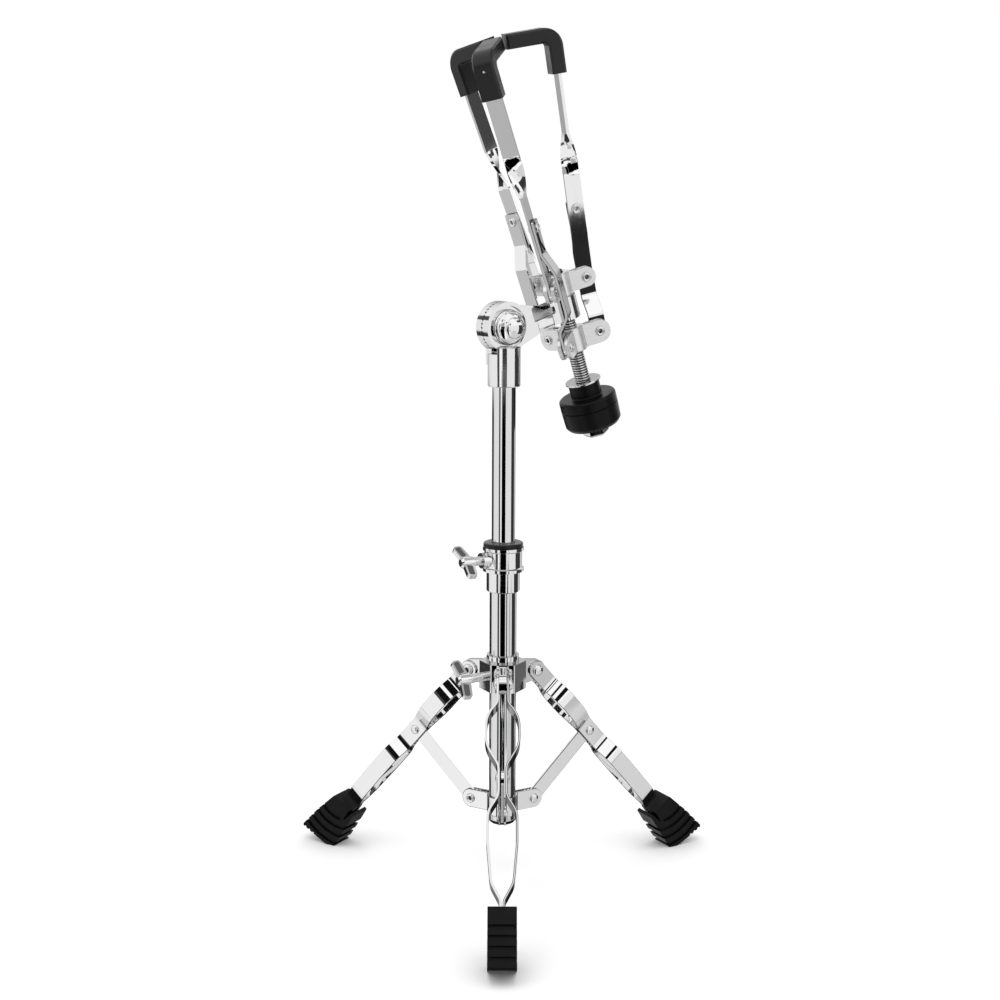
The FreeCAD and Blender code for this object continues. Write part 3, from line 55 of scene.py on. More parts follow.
Values = Dict[Union[str, int], object]
Link = Tuple[Node, str, Node, Union[str, int]]

LOG = logging.getLogger("snare_stand")
MM = 0.001
LEG_NUMBERS = (1, 2, 3)
ARM_NUMBERS = (1, 2, 3)

# Names of attributes, pieces and finishes, and the material index that marks rounded edges
# The first attribute below darkens a surface with painted shade: recessed panels, rounded edges, rivet hollows and
# the rod's core
PAINTED_SHADE = "sunk"
ALONG = "along"
DRESSED = "_dressed"
SATIN = "_satin"
ROUNDING = 1

# Limits of the mesh work
WELD_M = 2e-6
TURNED_WELD_M = 1e-7
SMALL_MM = 1e-6
FLAT_DEGREES = 0.4
SHARP_DEGREES = 35.0
BEVEL_DEGREES = 28.0
FLAT_WEIGHT = 60
SIDE_LIMIT = 0.02
FACING_LIMIT = 0.999
PANEL_STEP_MM = 0.2

# Turned outlines: guard chords beside a rounded corner keep the shading of straight parts straight
TURNED_FACES = 128
FILLET_CHORDS = 5
FILLET_SHARE = 0.48
GUARD_SHARE = 0.49
GUARD_MM = 0.3

# Rivets: counts of faces, and shares of their own sizes
RIVET_FACES = 40
HEAD_CHORDS = 8
DOME_RIM = 0.12
ROLL_RIM = 0.25
HOLLOW_SHARE = 0.62
HOLLOW_TAPER = 0.9
HOLLOW_EDGE = 0.95
RIM_SHARE = 0.98
CORE_SHARE = 0.2
STUB_SHARE = 0.1
SEAT_MM = 0.02

# Screw threads: the middle of the ridge lies a little inside the core
THREAD_STEPS = 40
RIDGE_FACES = 8
THREAD_SINK_MM = 0.05

# Surface effects: detail of each noise and the part of its range that is used
HAZE_DETAIL = 4.0
PEEL_DETAIL = 2.0
GRAIN_DETAIL = 3.0
PATCH_DETAIL = 5.0
HAZE_RANGE = (0.35, 0.70)
RUB_RANGE = (0.35, 0.68)
DUST_RANGE = (0.52, 0.80)
SOCKET_KINDS = {"Vector": "NodeSocketVector", "Geometry": "NodeSocketGeometry",
                "Form": "NodeSocketObject", "Finish": "NodeSocketMaterial"}


class Slot(str, Enum):
    """Material slots of the record."""

    TUBE = "chrome_tube"
    STRIP = "chrome_strip"
    CAST = "chrome_cast"
    RIVET = "rivet_steel"
    ROD = "rod_steel"
    FOOT = "foot_rubber"
    PLUG = "plug_rubber"
    GRIP = "grip_rubber"
    NYLON = "nylon_black"
    KNOB = "knob_plastic"


class Head(Enum):
    """Shapes of a rivet's head."""

    DOME = "dome"
    TUBULAR = "tubular"


class Chords(Enum):
    """Faces across a rounded edge."""

    PLAIN = 2
    SOFT = 3
    FINE = 4


@dataclass(frozen=True)
class Reach:
    """Extent of points along and around a line, in millimetres."""

    low: float
    high: float
    bore: float
    radius: float


@dataclass(frozen=True)
class Axis:
    """A straight line in the frame: a point on it and its unit direction."""

    origin: Vector
    direction: Vector

    def matrix(self) -> Matrix:
        """Transform that carries local Z onto this line."""
        turn = Vector((0.0, 0.0, 1.0)).rotation_difference(self.direction)
        return Matrix.Translation(self.origin) @ turn.to_matrix().to_4x4()

    def shifted(self, distance_mm: float) -> "Axis":
        """The same line with its point moved along it."""
        return Axis(self.origin + self.direction * (distance_mm * MM), self.direction)

    def turned(self) -> "Axis":
        """The same line, pointing the other way."""
        return Axis(self.origin, -self.direction)

    def along(self, point: Vector) -> float:
        """Place of a point along the line, in millimetres."""
        return (point - self.origin).dot(self.direction) / MM

    def away(self, point: Vector) -> float:
        """Distance of a point from the line, in millimetres."""
        return (point - self.origin).cross(self.direction).length / MM

    def rows(self, points: Sequence[Vector]) -> Outline:
        """Place along the line and distance from it of each point."""
        return [(self.along(point), self.away(point)) for point in points]

    def below(self, points: Sequence[Vector], level_mm: float) -> List[Vector]:
        """The points that lie below a level along the line."""
        return [point for point in points if self.along(point) < level_mm]

    def reach(self, points: Sequence[Vector]) -> Reach:
        """Extent of points along and around the line."""
        along, away = zip(*self.rows(points))
        return Reach(min(along), max(along), min(away), max(away))


LOCAL_Z = Axis(Vector(), Vector((0.0, 0.0, 1.0)))


# Frame helpers

def joint_axis(name: str) -> Axis:
    """The line of a joint at rest."""
    joint = next(joint for joint in frame["joints"] if joint["name"] == name)
    return Axis(Vector(joint["pos_m"]), Vector(joint["axis"]).normalized())


def body_of(node: str) -> str:
    """Name of the body that carries a node."""
    bodies = frame["record"]["behaviour"]["bodies"]
    return next(body for body, members in bodies.items() if node in members)


def node_points(node: str) -> List[Vector]:
    """All corner points of a node's mesh at rest."""
    return [vertex.co.copy() for vertex in frame["nodes"][node].data.vertices]


# Mesh helpers

def object_of(name: str, form: BMesh) -> Object:
    """Put a bmesh into the scene as an object at the origin, and free it.

    Args:
        name: Name of the new object.
        form: Shape in the frame.

    Returns:
        The new object.
    """
    mesh = bpy.data.meshes.new(name)
    form.to_mesh(mesh)
    form.free()
    piece = bpy.data.objects.new(name, mesh)
    bpy.context.scene.collection.objects.link(piece)
    return piece


def shade_smooth(mesh: Mesh) -> None:
    """Smooth shading on every face."""
    mesh.polygons.foreach_set("use_smooth", [True] * len(mesh.polygons))


def mark_points(mesh: Mesh, marks: Sequence[float]) -> None:
    """Mark how far each point of a mesh is darkened by painted shade, from 0 to 1."""
    mesh.attributes.new(PAINTED_SHADE, "FLOAT", "POINT").data.foreach_set("value", marks)


def mark_rounding(mesh: Mesh, share: float) -> None:
    """Mark the faces of rounded edges with partial painted shade, a painted dark reflection, and put them back on
    the first material.

    Args:
        mesh: Mesh whose rounded edges have the material index ROUNDING.
        share: How far they are darkened by painted shade, from 0 to 1.
    """
    marks = mesh.attributes.get(PAINTED_SHADE) or mesh.attributes.new(PAINTED_SHADE, "FLOAT", "FACE")
    for face, mark in zip(mesh.polygons, marks.data):
        if face.material_index == ROUNDING:
            mark.value = max(mark.value, share)
            face.material_index = 0


def settle_modifiers(piece: Object) -> Object:
    """Replace a piece's mesh by its evaluated one and drop the modifiers.

    Args:
        piece: Object with modifiers.

    Returns:
        The same object with a plain mesh.
    """
    graph = bpy.context.evaluated_depsgraph_get()
    result = bpy.data.meshes.new_from_object(piece.evaluated_get(graph), preserve_all_data_layers=True,
                                             depsgraph=graph)
    old = piece.data
    piece.modifiers.clear()
    piece.data = result
    result.name = piece.name
    bpy.data.meshes.remove(old)
    return piece


def merged_copy(node: str) -> BMesh:
    """A node's surface with its triangles welded and its flat faces joined.

    Args:
        node: Name of the node.

    Returns:
        A new bmesh in the frame.
    """
    form = bmesh.new()
    form.from_mesh(frame["nodes"][node].data)
    bmesh.ops.remove_doubles(form, verts=form.verts, dist=WELD_M)
    bmesh.ops.dissolve_limit(form, angle_limit=math.radians(FLAT_DEGREES), verts=form.verts, edges=form.edges)
    return form


def islands_of(node: str) -> List[List[Vector]]:
    """Corner points of each loose part of a node.

    Args:
        node: Name of the node.

    Returns:
        One list of points for each loose part.
    """
    form = merged_copy(node)
    left = dict.fromkeys(form.verts)
    groups: List[List[Vector]] = []
    while left:
        todo = [left.popitem()[0]]
        points = []
        while todo:
            vertex = todo.pop()
            points.append(vertex.co.copy())
            for edge in vertex.link_edges:
                other = edge.other_vert(vertex)
                if other in left:
                    del left[other]
                    todo.append(other)
        groups.append(points)
    form.free()
    return groups


@dataclass(frozen=True)
class Panels:
    """Recessed panels of a casting, found within a ring about a line, to be darkened by painted shade."""

    axis: Axis
    near_mm: float
    far_mm: float
    direction: Optional[Vector] = None
    share: float = 1.0

    def ways(self, form: BMesh) -> List[Vector]:
        """Directions that the panels face.

        Args:
            form: Shape of the casting.

        Returns:
            The given direction, or both sides of the widest flat along the line.
        """
        if self.direction is not None:
            return [self.direction]
        flats = [face for face in form.faces if abs(face.normal.dot(self.axis.direction)) < SIDE_LIMIT]
        widest = max(flats, key=lambda face: face.calc_area()).normal
        return [widest.copy(), -widest]

    def mark(self, form: BMesh) -> None:
        """Mark the deepest flats that face each direction with painted shade.

        Args:
            form: Shape of the casting, which gets the marks.
        """
        layer = form.faces.layers.float.new(PAINTED_SHADE)
        for way in self.ways(form):
            flats = []
            for face in form.faces:
                middle = face.calc_center_median()
                inside = self.near_mm < self.axis.away(middle) < self.far_mm
                if inside and face.normal.dot(way) > FACING_LIMIT:
                    flats.append((middle.dot(way), face))
            floor = min(level for level, face in flats)
            for level, face in flats:
                face[layer] = self.share if level < floor + PANEL_STEP_MM * MM else 0.0


def softened_shell(node: str, bevel_mm: float, chords: Chords, panels: Optional[Panels],
                   edge: float) -> Object:
    """A node's surface with its edges rounded, as polishing or moulding leaves them.

    Args:
        node: Node whose shape is taken.
        bevel_mm: Width of the rounding.
        chords: Faces across the rounding.
        panels: Recessed panels to darken by painted shade, if it has any.
        edge: How far the rounding is darkened by painted shade, a painted dark reflection, from 0 to 1.

    Returns:
        A new object in the frame.
    """
    form = merged_copy(node)
    if panels is not None:
        panels.mark(form)
    piece = object_of(node + DRESSED, form)
    for index in range(ROUNDING + 1):
        piece.data.materials.append(None)
    shade_smooth(piece.data)
    bevel = piece.modifiers.new("edge_round", "BEVEL")
    bevel.width = bevel_mm * MM
    bevel.segments = chords.value
    bevel.limit_method = "ANGLE"
    bevel.angle_limit = math.radians(BEVEL_DEGREES)
    bevel.miter_outer = "MITER_ARC"
    bevel.material = ROUNDING
    weights = piece.modifiers.new("flat_faces", "WEIGHTED_NORMAL")
    weights.weight = FLAT_WEIGHT
    weights.keep_sharp = True
    settle_modifiers(piece)
    # The rounding gets painted shade, a painted dark reflection along the edges
    mark_rounding(piece.data, edge)
    return piece


def arc(steps: int, degrees: float) -> Outline:
    """Sine and cosine at even steps of an arc that starts at 0."""
    turns = [math.radians(degrees * step / steps) for step in range(steps + 1)]
    return [(math.sin(turn), math.cos(turn)) for turn in turns]


def filleted(corners: Corners) -> Outline:
    """Round the corners of an outline.

    Args:
        corners: Height, radius and corner rounding of each point, in millimetres.

    Returns:
        Height and radius of each point of the rounded outline, in millimetres.
    """
    outline: Outline = []
    for index, (height, radius, corner) in enumerate(corners):
        here = Vector((height, radius))
        before = Vector(corners[index - 1][:2]) - here
        after = Vector(corners[(index + 1) % len(corners)][:2]) - here
        if corner <= 0.0 or min(before.length, after.length) < SMALL_MM:
            outline.append((height, radius))
            continue
        back = min(corner / math.tan(before.angle(after) / 2.0),
                   FILLET_SHARE * before.length, FILLET_SHARE * after.length)
        start = here + before.normalized() * back
        end = here + after.normalized() * back
        points = [here + before.normalized() * min(back + GUARD_MM, GUARD_SHARE * before.length)]
        for step in range(FILLET_CHORDS + 1):
            share = step / FILLET_CHORDS
            points.append(start.lerp(here, share).lerp(here.lerp(end, share), share))
        points.append(here + after.normalized() * min(back + GUARD_MM, GUARD_SHARE * after.length))
        outline += [(point.x, point.y) for point in points]
    return outline


def lathe(name: str, axis: Axis, outline: Sequence[Tuple[float, float]], faces: int) -> Object:
    """Turn an outline round a line.

    Args:
        name: Name of the new object.
        axis: Line to turn about; heights count from its point.
        outline: Height and radius of each point in millimetres, round a closed section.
        faces: Faces round the line.

    Returns:
        A closed turned piece.
    """
    form = bmesh.new()
    rings: List[List[BMVert]] = []
    for height, radius in outline:
        wide = radius * MM
        turns = [2.0 * math.pi * step / faces for step in range(faces if radius >= SMALL_MM else 1)]
        rings.append([form.verts.new((wide * math.cos(turn), wide * math.sin(turn), height * MM))
                      for turn in turns])
    for first, second in zip(rings, rings[1:] + rings[:1]):
        for step in range(faces):
            following = (step + 1) % faces
            corners = [first[step % len(first)], first[following % len(first)],
                       second[following % len(second)], second[step % len(second)]]
            unique = list(dict.fromkeys(corners))
            if len(unique) > 2:
                form.faces.new(unique)
    bmesh.ops.remove_doubles(form, verts=form.verts, dist=TURNED_WELD_M)
    bmesh.ops.recalc_face_normals(form, faces=form.faces)
    piece = object_of(name, form)
    piece.data.transform(axis.matrix())
    shade_smooth(piece.data)
    piece.data.set_sharp_from_angle(angle=math.radians(SHARP_DEGREES))
    return piece


# Node trees

class NodeMaker:
    """Adds nodes to a tree and joins them."""

    def __init__(self, tree: NodeTree) -> None:
        """Work in a tree."""
        self.tree = tree

    def node(self, kind: str, values: Optional[Values] = None, **settings: object) -> Node:
        """Add a node.

        Args:
            kind: Type of the node.
            values: Plain values of its inputs.
            settings: Properties of the node itself.

        Returns:
            The new node.
        """
        made = self.tree.nodes.new(kind)
        for key, value in settings.items():
            setattr(made, key, value)
        self.give(made, values or {})
        return made

    def give(self, node: Node, values: Values) -> None:
        """Set plain values on a node's inputs."""
        for key, value in values.items():
            node.inputs[key].default_value = value

    def join(self, *links: Link) -> None:
        """Join each link's output to its input."""
        for source, output, target, entry in links:
            self.tree.links.new(source.outputs[output], target.inputs[entry])


class GroupMaker(NodeMaker):
    """Builds a node group with named inputs and outputs."""

    def __init__(self, name: str, kind: str, inputs: Sequence[str], outputs: Sequence[str]) -> None:
        """Start a group.

        Args:
            name: Name of the group.
            kind: Type of its tree.
            inputs: Names of its inputs.
            outputs: Names of its outputs.
        """
        super().__init__(bpy.data.node_groups.new(name, kind))
        for way, sockets in (("INPUT", inputs), ("OUTPUT", outputs)):
            for socket in sockets:
                self.tree.interface.new_socket(name=socket, in_out=way,
                                               socket_type=SOCKET_KINDS.get(socket, "NodeSocketFloat"))
        self.entry = self.node("NodeGroupInput")
        self.leave = self.node("NodeGroupOutput")


class TreeMaker(GroupMaker):
    """Builds a geometry node tree whose result is real and has a finish."""

    def __init__(self, name: str, *inputs: str) -> None:
        """Start a tree with its own inputs between Geometry and Finish."""
        super().__init__(name, "GeometryNodeTree", ("Geometry", *inputs, "Finish"), ("Geometry",))

    def close(self, source: Node, output: str) -> GeometryNodeTree:
        """End the tree in real geometry with the given finish.

        Args:
            source: Node that makes the finished shape.
            output: Its output with that shape.

        Returns:
            The finished tree.
        """
        real = self.node("GeometryNodeRealizeInstances")
        dress = self.node("GeometryNodeSetMaterial")
        self.join((source, output, real, "Geometry"), (real, "Geometry", dress, "Geometry"),
                  (self.entry, "Finish", dress, "Material"), (dress, "Geometry", self.leave, "Geometry"))
        return self.tree


def rivet_tree() -> GeometryNodeTree:
    """Tree that sets one rivet on every point, along the point's stored direction.

    Returns:
        A tree with the rivet as its Form input.
    """
    maker = TreeMaker("rivets_on_points", "Form")
    form = maker.node("GeometryNodeObjectInfo")
    along = maker.node("GeometryNodeInputNamedAttribute", {"Name": ALONG}, data_type="FLOAT_VECTOR")
    turn = maker.node("FunctionNodeAlignRotationToVector", axis="Z")
    place = maker.node("GeometryNodeInstanceOnPoints")
    maker.join((maker.entry, "Form", form, "Object"), (along, "Attribute", turn, "Vector"),
               (maker.entry, "Geometry", place, "Points"), (form, "Geometry", place, "Instance"),
               (turn, "Rotation", place, "Rotation"))
    return maker.close(place, "Instances")


def thread_tree() -> GeometryNodeTree:
    """Tree that winds a screw thread round the core it is given.

    Returns:
        A tree with Radius, Ridge, Pitch and Turns inputs.
    """
    maker = TreeMaker("screw_thread", "Radius", "Ridge", "Pitch", "Turns")
    entry = maker.entry
    spiral = maker.node("GeometryNodeCurveSpiral", {"Resolution": THREAD_STEPS})
    ridge = maker.node("GeometryNodeCurvePrimitiveCircle", {"Resolution": RIDGE_FACES})
    rise = maker.node("ShaderNodeMath", operation="MULTIPLY")
    sweep = maker.node("GeometryNodeCurveToMesh", {"Fill Caps": True})
    smooth = maker.node("GeometryNodeSetShadeSmooth")
    screw = maker.node("GeometryNodeJoinGeometry")
    maker.join((entry, "Radius", spiral, "Start Radius"), (entry, "Radius", spiral, "End Radius"),
               (entry, "Turns", spiral, "Rotations"), (entry, "Pitch", rise, 0), (entry, "Turns", rise, 1),
               (rise, "Value", spiral, "Height"), (entry, "Ridge", ridge, "Radius"),
               (spiral, "Curve", sweep, "Curve"), (ridge, "Curve", sweep, "Profile Curve"),
               (sweep, "Mesh", smooth, "Geometry"), (smooth, "Geometry", screw, "Geometry"),
               (entry, "Geometry", screw, "Geometry"))
    return maker.close(screw, "Geometry")


def run_tree(piece: Object, tree: GeometryNodeTree, **values: object) -> Object:
    """Run a tree on a piece and keep the plain result.

    Args:
        piece: Object that carries the tree's geometry input.
        tree: Geometry node tree.
        values: Input names and their values.

    Returns:
        The same object with a plain mesh.
    """
    modifier = piece.modifiers.new(tree.name, "NODES")
    modifier.node_group = tree
    for item in tree.interface.items_tree:
        if item.item_type == "SOCKET" and item.in_out == "INPUT" and item.name in values:
            modifier[item.identifier] = values[item.name]
    return settle_modifiers(piece)


# Finishes

class EffectMaker(GroupMaker):
    """Builds a shader node group, with noises where it varies a surface."""

    def __init__(self, name: str, inputs: Sequence[str], outputs: Sequence[str]) -> None:
        """Start a shader node group."""
        super().__init__(name, "ShaderNodeTree", inputs, outputs)

    def noise(self, scale: str, detail: float) -> Node:
        """Add a noise on the group's Vector.

        Args:
            scale: Input that gives its scale.
            detail: Its detail.

        Returns:
            The noise's node.
        """
        made = self.node("ShaderNodeTexNoise", {"Detail": detail})
        self.join((self.entry, "Vector", made, "Vector"), (self.entry, scale, made, "Scale"))
        return made

    def stretched(self, noise: Node, used: Tuple[float, float], output: str) -> Node:
        """Stretch the used part of a noise's range and put it out.

        Args:
            noise: The noise's node.
            used: Lowest and highest value that is used.
            output: Output of the group that gets the result.

        Returns:
            The node that stretches it.
        """
        made = self.node("ShaderNodeMapRange", {"From Min": used[0], "From Max": used[1]})
        self.join((noise, "Fac", made, "Value"), (made, "Result", self.leave, output))
        return made

    def roughness(self, noise: Node, used: Tuple[float, float]) -> None:
        """Put out a roughness that a noise moves between the inputs Low and High."""
        rough = self.stretched(noise, used, "Roughness")
        self.join((self.entry, "Low", rough, "To Min"), (self.entry, "High", rough, "To Max"))


def polish_group() -> ShaderNodeTree:
    """Group that varies a polished surface: faint haze and a slight orange peel.

    Returns:
        A group with Roughness and Height outputs.
    """
    maker = EffectMaker("polish_haze", ("Vector", "Haze Scale", "Low", "High", "Peel Scale"),
                        ("Roughness", "Height"))
    maker.roughness(maker.noise("Haze Scale", HAZE_DETAIL), HAZE_RANGE)
    maker.join((maker.noise("Peel Scale", PEEL_DETAIL), "Fac", maker.leave, "Height"))
    return maker.tree


def mould_group() -> ShaderNodeTree:
    """Group for moulded rubber and plastic: fine grain, rubbed patches and a trace of dust.

    Returns:
        A group with Dust, Roughness and Height outputs.
    """
    maker = EffectMaker("mould_grain", ("Vector", "Grain Scale", "Patch Scale", "Low", "High"),
                        ("Dust", "Roughness", "Height"))
    patch = maker.noise("Patch Scale", PATCH_DETAIL)
    maker.roughness(patch, RUB_RANGE)
    maker.stretched(patch, DUST_RANGE, "Dust")
    maker.join((maker.noise("Grain Scale", GRAIN_DETAIL), "Fac", maker.leave, "Height"))
    return maker.tree


class Surface(NodeMaker):
    """Builds a material on object coordinates."""

    def __init__(self, name: str, values: Values) -> None:
        """Start a material.

        Args:
            name: Name of the material.
            values: Plain values of its shader.
        """
        self.material = bpy.data.materials.new(name)
        self.material.use_nodes = True
        super().__init__(self.material.node_tree)
        self.shader = self.tree.nodes["Principled BSDF"]
        self.give(self.shader, values)
        self.place = self.node("ShaderNodeTexCoord")

    def varied(self, group: ShaderNodeTree, depth_mm: float, values: Values) -> Node:
        """Place a shared group and let its Height raise the surface.

        Args:
            group: Group with a Vector input and a Height output.
            depth_mm: Depth of the relief.
            values: Values of the group's other inputs.

        Returns:
            The group's node.
        """
        vary = self.node("ShaderNodeGroup", values, node_tree=group)
        bump = self.node("ShaderNodeBump", {"Strength": 1.0, "Distance": depth_mm * MM})
        self.join((self.place, "Object", vary, "Vector"), (vary, "Height", bump, "Height"),
                  (bump, "Normal", self.shader, "Normal"))
        return vary

    def tinted(self, mask: Node, output: str, plain: Sequence[float], marked: Sequence[float]) -> None:
        """Colour the surface by a mask.

        Args:
            mask: Node that makes the mask.
            output: Its output with the mask.
            plain: Colour where the mask is 0.
            marked: Colour where the mask is 1.
        """
        tint = self.node("ShaderNodeMix", {"A": (*plain, 1.0), "B": (*marked, 1.0)}, data_type="RGBA")
        self.join((mask, output, tint, "Factor"), (tint, "Result", self.shader, "Base Color"))


@dataclass(frozen=True)
class MetalFinish:
    """Polished or plated metal."""

    slot: Slot
    color: Color
    rough_low: float
    rough_high: float
    haze_scale: float
    peel_scale: float
    peel_mm: float
    rim: float = 0.3
    # Painted shade: colour share and roughness where the shade attribute marks the surface
    painted_shade_tone: float = 0.34
    painted_shade_rough: float = 0.42
    metallic: float = 1.0
    kind: str = ""

    def name(self) -> str:
        """Name of the material: its slot, and its kind where a slot has several."""
        return self.slot.value + self.kind

    def build(self, polish: ShaderNodeTree) -> Material:
        """Make the material.

        Args:
            polish: Shared group that varies the polish.

        Returns:
            The finished material.
        """
        surface = Surface(self.name(), {"Metallic": self.metallic,
                                        "Specular Tint": (self.rim, self.rim, self.rim, 1.0)})
        vary = surface.varied(polish, self.peel_mm, {
            "Haze Scale": self.haze_scale, "Low": self.rough_low, "High": self.rough_high,
            "Peel Scale": self.peel_scale})
        # Painted shade: the colour is darkened where the shade attribute marks recessed panels, rounded edges,
        # rivet hollows and the rod's core
        sunk = surface.node("ShaderNodeAttribute", attribute_name=PAINTED_SHADE)
        surface.tinted(sunk, "Fac", self.color, [part * self.painted_shade_tone for part in self.color])
        matt = surface.node("ShaderNodeMix", {"B": self.painted_shade_rough})
        surface.join((sunk, "Fac", matt, "Factor"), (vary, "Roughness", matt, "A"),
                     (matt, "Result", surface.shader, "Roughness"))
        return surface.material


@dataclass(frozen=True)
class MouldFinish:
    """Moulded rubber or plastic."""

    slot: Slot
    color: Color
    dust_color: Color
    rough_low: float
    rough_high: float
    grain_scale: float
    patch_scale: float
    grain_mm: float
    specular: float

    def build(self, mould: ShaderNodeTree) -> Material:
        """Make the material.

        Args:
            mould: Shared group with the moulded grain.

        Returns:
            The finished material.
        """
        surface = Surface(self.slot.value, {"Specular IOR Level": self.specular})
        vary = surface.varied(mould, self.grain_mm, {
            "Grain Scale": self.grain_scale, "Patch Scale": self.patch_scale, "Low": self.rough_low,
            "High": self.rough_high})
        surface.tinted(vary, "Dust", self.color, self.dust_color)
        surface.join((vary, "Roughness", surface.shader, "Roughness"))
        return surface.material


METALS = (
    MetalFinish(Slot.TUBE, (0.78, 0.78, 0.785), 0.03, 0.06, 30.0, 260.0, 0.0008),
    MetalFinish(Slot.STRIP, (0.91, 0.91, 0.915), 0.02, 0.05, 45.0, 240.0, 0.0010, rim=0.2, painted_shade_tone=0.10,
                painted_shade_rough=0.25),
    MetalFinish(Slot.CAST, (0.86, 0.86, 0.865), 0.05, 0.11, 70.0, 420.0, 0.003, rim=0.45, painted_shade_tone=0.20),
    MetalFinish(Slot.CAST, (0.88, 0.88, 0.885), 0.30, 0.38, 160.0, 900.0, 0.008, rim=0.6, painted_shade_tone=0.03,
                metallic=0.92, kind=SATIN),
    MetalFinish(Slot.RIVET, (0.84, 0.84, 0.845), 0.10, 0.20, 120.0, 600.0, 0.003),
    MetalFinish(Slot.ROD, (0.80, 0.80, 0.81), 0.10, 0.18, 120.0, 600.0, 0.003, painted_shade_tone=0.12),
)
# Painted shade on rounded edges, a painted dark reflection that outlines strips and castings
EDGE_SHADE_SHARE = {Slot.STRIP: 0.85, Slot.CAST: 0.55}
MOULDS = (
    MouldFinish(Slot.FOOT, (0.0035, 0.0035, 0.0037), (0.0080, 0.0078, 0.0075), 0.38, 0.52,
                1400.0, 90.0, 0.05, 0.12),
    MouldFinish(Slot.PLUG, (0.0040, 0.0040, 0.0040), (0.0100, 0.0098, 0.0095), 0.45, 0.60,
                1400.0, 90.0, 0.05, 0.10),
    MouldFinish(Slot.GRIP, (0.0060, 0.0060, 0.0062), (0.0090, 0.0090, 0.0090), 0.30, 0.42,
                1800.0, 70.0, 0.03, 0.42),
    MouldFinish(Slot.NYLON, (0.0050, 0.0050, 0.0053), (0.0090, 0.0090, 0.0090), 0.26, 0.38,
                1200.0, 80.0, 0.02, 0.30),
    MouldFinish(Slot.KNOB, (0.0030, 0.0030, 0.0033), (0.0050, 0.0050, 0.0050), 0.28, 0.40,
                1500.0, 60.0, 0.025, 0.14),
)


class FinishSet:
    """All finishes of the stand, by slot and kind."""

    def __init__(self) -> None:
        """Build the shared groups and every material."""
        polish = polish_group()
        mould = mould_group()
        self.materials: Dict[str, Material] = {}
        for metal in METALS:
            self.materials[metal.name()] = metal.build(polish)
        for moulded in MOULDS:
            self.materials[moulded.slot.value] = moulded.build(mould)

    def of(self, slot: Slot, kind: str = "") -> Material:
        """The material of a slot and kind."""
        return self.materials[slot.value + kind]


# Rivets

@dataclass(frozen=True)
class RivetSeat:
    """Line and sizes of one rivet, measured from the frame in millimetres."""

    axis: Axis
    low_seat: float
    high_seat: float
    low: float
    high: float
    head: float
    shank: float

    def is_stub(self) -> bool:
        """Whether it has a head at one end only."""
        return self.high_seat - self.low_seat < STUB_SHARE * (self.high - self.low)

    def head_up(self) -> "RivetSeat":
        """The same stub with its head at the high end.

        Returns:
            The seat, along the line that points to its head.
        """
        if self.high - self.high_seat < self.low_seat - self.low:
            return self
        return RivetSeat(self.axis.turned(), -self.high_seat, -self.low_seat, -self.high, -self.low,
                         self.head, self.shank)


def measured_rivet(points: Sequence[Vector], directions: Sequence[Vector]) -> RivetSeat:
    """Measure a rivet.

    Args:
        points: Corner points of the rivet.
        directions: Lines that it may lie along.

    Returns:
        The rivet's seat; a head's rim is where the widest points are.
    """
    middle = sum(points, Vector()) / len(points)
    choices = [Axis(middle, direction) for direction in directions]
    axis = min(choices, key=lambda choice: choice.reach(points).radius)
    reach = axis.reach(points)
    rows = axis.rows(points)
    wide = [along for along, away in rows if away > RIM_SHARE * reach.radius]
    low_seat = min(wide)
    high_seat = max(wide)
    shank = min(away for along, away in rows
                if min(along - low_seat, high_seat - along) > -SEAT_MM and away > CORE_SHARE * reach.radius)
    return RivetSeat(axis, low_seat, high_seat, reach.low, reach.high, reach.radius, shank)


def head_outline(head: Head, seat: float, top: float, radius: float, shank: float) -> Outline:
    """Outline of one rivet head from its rim to its middle.

    Args:
        head: Shape of the head.
        seat: Level of the head's rim.
        top: Level of the head's crown.
        radius: Radius of the rim.
        shank: Radius of the shank.

    Returns:
        Level and radius of each point.
    """
    rise = top - seat
    if head is Head.DOME:
        outline = [(seat + rise * (DOME_RIM + (1.0 - DOME_RIM) * up), radius * out)
                   for up, out in arc(HEAD_CHORDS, 90.0)]
        return [(seat, radius)] + outline
    hollow = HOLLOW_SHARE * shank
    roll = (radius - hollow) / 2.0
    outline = [(seat + rise * (ROLL_RIM + (1.0 - ROLL_RIM) * up), hollow + roll + roll * out)
               for up, out in arc(HEAD_CHORDS, 180.0)]
    return [(seat, radius)] + outline + [(seat - rise, hollow * HOLLOW_TAPER), (seat - rise, 0.0)]


